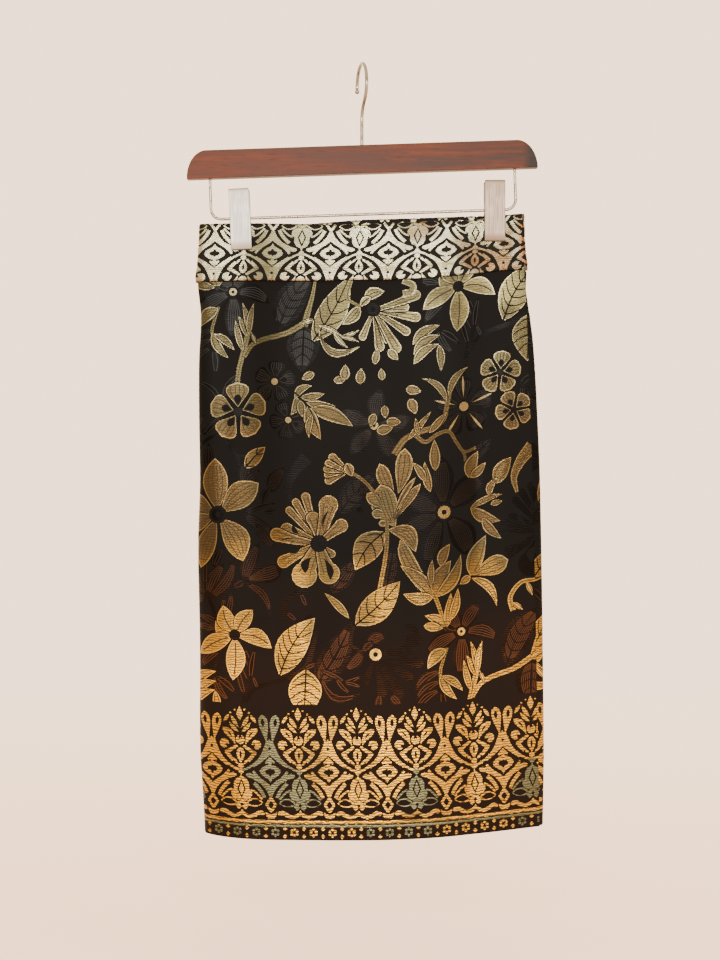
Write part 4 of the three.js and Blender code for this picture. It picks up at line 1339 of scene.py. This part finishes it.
# an outline in x and z thickened along y, then put in its place
def slab(name, outline, thickness, matrix, middle=0.0):
    form = bmesh.new()
    low, high = [
        [form.verts.new((a * mm, (middle + out * thickness / 2) * mm, b * mm)) for a, b in outline]
        for out in (-1, 1)
    ]
    count = len(outline)
    form.faces.new(low[::-1])
    form.faces.new(high)
    for i in range(count):
        k = (i + 1) % count
        form.faces.new((low[i], low[k], high[k], high[i]))
    bmesh.ops.recalc_face_normals(form, faces=form.faces)
    form.transform(matrix)
    mesh = bpy.data.meshes.new(name)
    form.to_mesh(mesh)
    form.free()
    mesh.polygons.foreach_set("use_smooth", [True] * len(mesh.polygons))
    mesh.set_sharp_from_angle(angle=math.radians(32))
    return mesh


def barOutline():
    half = hanger["length"] / 2
    low = -hanger["height"] / 2
    shoulder = hanger["shoulder"]
    turns = np.linspace(0.02, math.pi / 2, 26)
    right = [(half - shoulder + shoulder * math.cos(a), low + hanger["height"] * math.sin(a)) for a in turns]
    return [(-half, low), (half, low), *right, *[(-x, z) for x, z in right[::-1]]]


barMesh = slab("bar", barOutline(), hanger["depth"], hangerPlace)
addPiece("hanger-bar", barMesh, woodFinish, "hanger_bar", hanger["edge"])


def wirePiece(name, points, radius, matrix, node, swell=None):
    data = bpy.data.curves.new(name, "CURVE")
    data.dimensions = "3D"
    data.bevel_depth = radius * mm
    data.bevel_resolution = 6
    data.use_fill_caps = True
    spline = data.splines.new("POLY")
    spline.points.add(len(points) - 1)
    for i, point in enumerate(points):
        spline.points[i].co = (*(matrix @ (Vector(point) * mm)), 1)
        spline.points[i].radius = swell[i] if swell else 1
    spline.use_smooth = True
    data.materials.append(wireFinish)
    settle(bpy.data.objects.new(name, data), node)


def trouserWire():
    high = -hanger["height"] / 2 + hanger["socket"]
    half, corner, drop = hanger["halfSpan"], hanger["corner"], hanger["drop"]
    turns = np.linspace(0, math.pi / 2, 14)
    right = [(half - corner + corner * math.cos(a), 0, -drop + corner - corner * math.sin(a)) for a in turns]
    left = [(-x, y, z) for x, y, z in right]
    return [(-half, 0, high), *left, (0, 0, -drop), *right[::-1], (half, 0, high)]


wirePiece("hanger-wire", trouserWire(), hanger["wire"], hangerPlace, "hanger_wire")

hook = {
    "wire": 1.8, "crook": 20.0, "turn": 13.0, "from": -52.0, "to": 188.0, "shankTop": -56.0,
    "handles": (9.0, 8.0), "ball": 2.5,
}


def hookLine():
    radius = hook["crook"] + hook["wire"]
    middle = -hook["crook"]
    bottom = hanger["middle"][2] + hanger["height"] / 2 - hanger["socket"]
    turn = math.radians(hook["turn"])

    def onArc(angle):
        return np.array([radius * math.cos(angle), middle + radius * math.sin(angle)])

    start = math.radians(hook["from"])
    join = onArc(start)
    a = np.array([0.0, hook["shankTop"]])
    b = a + (0, hook["handles"][0])
    c = join + hook["handles"][1] * np.array([math.sin(start), -math.cos(start)])
    flat = [np.array([0.0, bottom])]
    for t in np.linspace(0, 1, 20):
        flat.append((1 - t) ** 3 * a + 3 * (1 - t) ** 2 * t * b + 3 * (1 - t) * t * t * c + t ** 3 * join)
    for angle in np.linspace(start, math.radians(hook["to"]), 64)[1:]:
        flat.append(onArc(angle))
    return [(hanger["middle"][0] + p[0] * math.sin(turn), -p[0] * math.cos(turn), p[1]) for p in flat]


# the hook ends in a small ball
def makeHook():
    points = hookLine()
    ball = hook["ball"]
    tip = Vector(points[-1])
    ahead = (tip - Vector(points[-2])).normalized()
    steps = np.linspace(-ball * 0.85, ball * 0.98, 11)
    line = points[:-2] + [tuple(tip + ahead * float(d)) for d in steps]
    swell = [1.0] * len(points[:-2])
    swell += [max(math.sqrt(max(ball ** 2 - d * d, 0.02)) / hook["wire"], 0.05) for d in steps]
    wirePiece("hook", line, hook["wire"], Matrix.Identity(4), "hanger_hook", swell)


makeHook()

clip = {
    "width": 21.0, "wall": 1.2, "rise": 29.5, "drop": 33.0, "stand": 7.9, "lean": 2.3, "lip": 3.2,
    "gap": 0.6, "ear": 4.2, "earRise": 9.0, "earFall": 5.0, "pin": 2.2,
    "coil": 2.9, "coilWire": 0.45, "coilTurns": 7, "coilHalf": 5.6,
    "places": {"left": (-127.0, 1.0), "right": (134.8, -2.0)},  # along the bar, lean in degrees
}


# how far the cloth stands out under a jaw
def clothUnder(side, place):
    most = 0.0
    for dx in np.arange(-11.5, 12, 1.0):
        drop = garment["waist"] - (place.z + np.arange(-3.0, 7.0))
        most = max(most, float(depthOf(side, np.full_like(drop, place.x + dx), drop).max()))
    return most + 0.6


def bentLine(jaw):
    def stand(z):
        return clip["stand"] + clip["lean"] * z / clip["rise"]

    rise, lip = clip["rise"], clip["lip"]
    low = -clip["drop"] + clip["wall"] / 2
    line = [
        (jaw, low + 0.2), (jaw + lip * 0.45, low), (jaw + lip * 0.8, low + 0.5), (jaw + lip, low + 1.6),
        (max(stand(-22), jaw + lip), -22), (stand(0), 0), (stand(rise - 3.4), rise - 3.4),
        (stand(rise) - 0.6, rise - 0.9), (stand(rise) - 1.8, rise),
    ]
    outer, inner = [], []
    for i, (y, z) in enumerate(line):
        before, after = line[max(i - 1, 0)], line[min(i + 1, len(line) - 1)]
        way = Vector((after[0] - before[0], after[1] - before[1])).normalized() * clip["wall"] / 2
        outer.append((y + way.y, z - way.x))
        inner.append((y - way.y, z + way.x))
    return outer + inner[::-1]


# turns an outline drawn as stand and height, thickened along the width, to stand along y
acrossPlate = Matrix(((0, 1, 0, 0), (1, 0, 0, 0), (0, 0, 1, 0), (0, 0, 0, 1)))


def makePlate(name, node, side, place, jaw, earAt):
    facing = Matrix.Rotation(math.pi, 4, "Z") if side == "front" else Matrix.Identity(4)
    stands = place @ facing @ acrossPlate
    addPiece(name, slab(name, bentLine(jaw), clip["width"], stands), plateFinish, node, 0.4)
    foot = clip["stand"] - clip["lean"] * clip["earFall"] / clip["rise"]
    head = clip["stand"] + clip["lean"] * clip["earRise"] / clip["rise"]
    arc = np.linspace(math.radians(100), math.radians(260), 14)
    ear = [(foot, -clip["earFall"]), (head, clip["earRise"])]
    ear += [(clip["ear"] * math.cos(a), clip["ear"] * math.sin(a)) for a in arc]
    for hand, where in (("a", -earAt), ("b", earAt)):
        earMesh = slab(name, ear, clip["wall"], stands, where)
        addPiece(f"{name}-ear-{hand}", earMesh, plateFinish, node, 0.3)


def makeClip(name, alongBar, lean):
    local = Matrix.Translation(Vector((alongBar, 0, -hanger["drop"])) * mm)
    place = hangerPlace @ local @ leaning(lean)
    jawPlace = place @ (Vector((0, 0, -clip["drop"])) * mm) / mm
    earAt = (clip["width"] - clip["wall"]) / 2
    for side, at in (("front", earAt), ("back", earAt - clip["wall"] - garment["apart"])):
        jaw = clothUnder(side, jawPlace) + clip["gap"]
        makePlate(f"clip-{name}-{side}", f"clip_{name}_{side}", side, place, jaw, at)
    radius, half = clip["coil"], clip["coilHalf"]
    turns = np.linspace(0, 2 * math.pi * clip["coilTurns"], 14 * clip["coilTurns"])
    leg = [(-half, 6.9, 11.0), (-half, 3.8, 3.0)]
    coil = [(-half + 2 * half * a / turns[-1], radius * math.cos(a), radius * math.sin(a)) for a in turns]
    wirePiece(f"clip-{name}-spring", leg + coil, clip["coilWire"], place, f"clip_{name}_spring")
    pinLine = [(x, 0, 0) for x in (-10.4, -10.1, -9.0, 9.0, 10.1, 10.4)]
    pinSwell = [0.4, 0.9, 1, 1, 0.9, 0.4]
    wirePiece(f"clip-{name}-pin", pinLine, clip["pin"], place, f"clip_{name}_spring", pinSwell)


for name, (alongBar, lean) in clip["places"].items():
    makeClip(name, alongBar, lean)
print("stage: hanger and clips made")

studio = {
    "floor": "f2dccb", "floorCloud": "ead6c6", "floorAt": -0.96, "radius": 6.0,
    "sky": (1.0, 0.74, 0.5), "skyPower": 3.3, "aim": (0, 0, -0.42),
}


def makeFloor(look):
    form = bmesh.new()
    bmesh.ops.create_circle(form, cap_ends=True, segments=96, radius=look["radius"])
    mesh = bpy.data.meshes.new("floor")
    form.to_mesh(mesh)
    form.free()
    floor = bpy.data.objects.new("floor", mesh)
    floor.location = (0, 0, look["floorAt"])
    material, tree, place = newMaterial("floor paper")
    cloud = rangeNode(tree, noiseNode(tree, place, 1.2, 2.0), 0.3, 0.7, 0.0, 0.05)
    away = addNode(tree, "ShaderNodeVectorMath", {0: place}, operation="LENGTH").outputs["Value"]
    finished(material, {
        "Base Color": mixColors(tree, cloud, look["floor"], look["floorCloud"]),
        "Roughness": 0.95,
        "Alpha": rangeNode(tree, away, 0.5, 3.0, 1.0, 0.0),  # fades into the sky
    })
    mesh.materials.append(material)
    bpy.context.collection.objects.link(floor)


makeFloor(studio)

world = bpy.data.worlds.new("sky")
world.use_nodes = True
backdrop = world.node_tree.nodes["Background"]
backdrop.inputs["Color"].default_value = (*studio["sky"], 1)
backdrop.inputs["Strength"].default_value = studio["skyPower"]
bpy.context.scene.world = world

lights = {
    "left": {"at": (-0.2, -2.4, 0.12), "size": (0.34, 0.16), "power": 22, "color": (1.0, 0.99, 0.98)},
    "right": {"at": (0.24, -2.4, -0.03), "size": (0.36, 0.1), "power": 26, "color": (1.0, 0.99, 0.97)},
    "fill": {"at": (1.8, -1.8, -0.2), "size": (1.4, 1.4), "power": 10, "color": (1.0, 0.95, 0.9)},
    "back": {"at": (0.6, 2.4, 0.7), "size": (1.6, 1.6), "power": 24, "color": (1.0, 0.97, 0.93)},
}
for name, look in lights.items():
    data = bpy.data.lights.new(name, "AREA")
    data.shape = "RECTANGLE"
    data.size, data.size_y = look["size"]
    data.energy = look["power"]
    data.color = look["color"]
    lamp = bpy.data.objects.new(name, data)
    lamp.location = look["at"]
    toCloth = Vector(studio["aim"]) - Vector(look["at"])
    lamp.rotation_euler = toCloth.to_track_quat("-Z", "Y").to_euler()
    bpy.context.collection.objects.link(lamp)
print("stage: studio set")
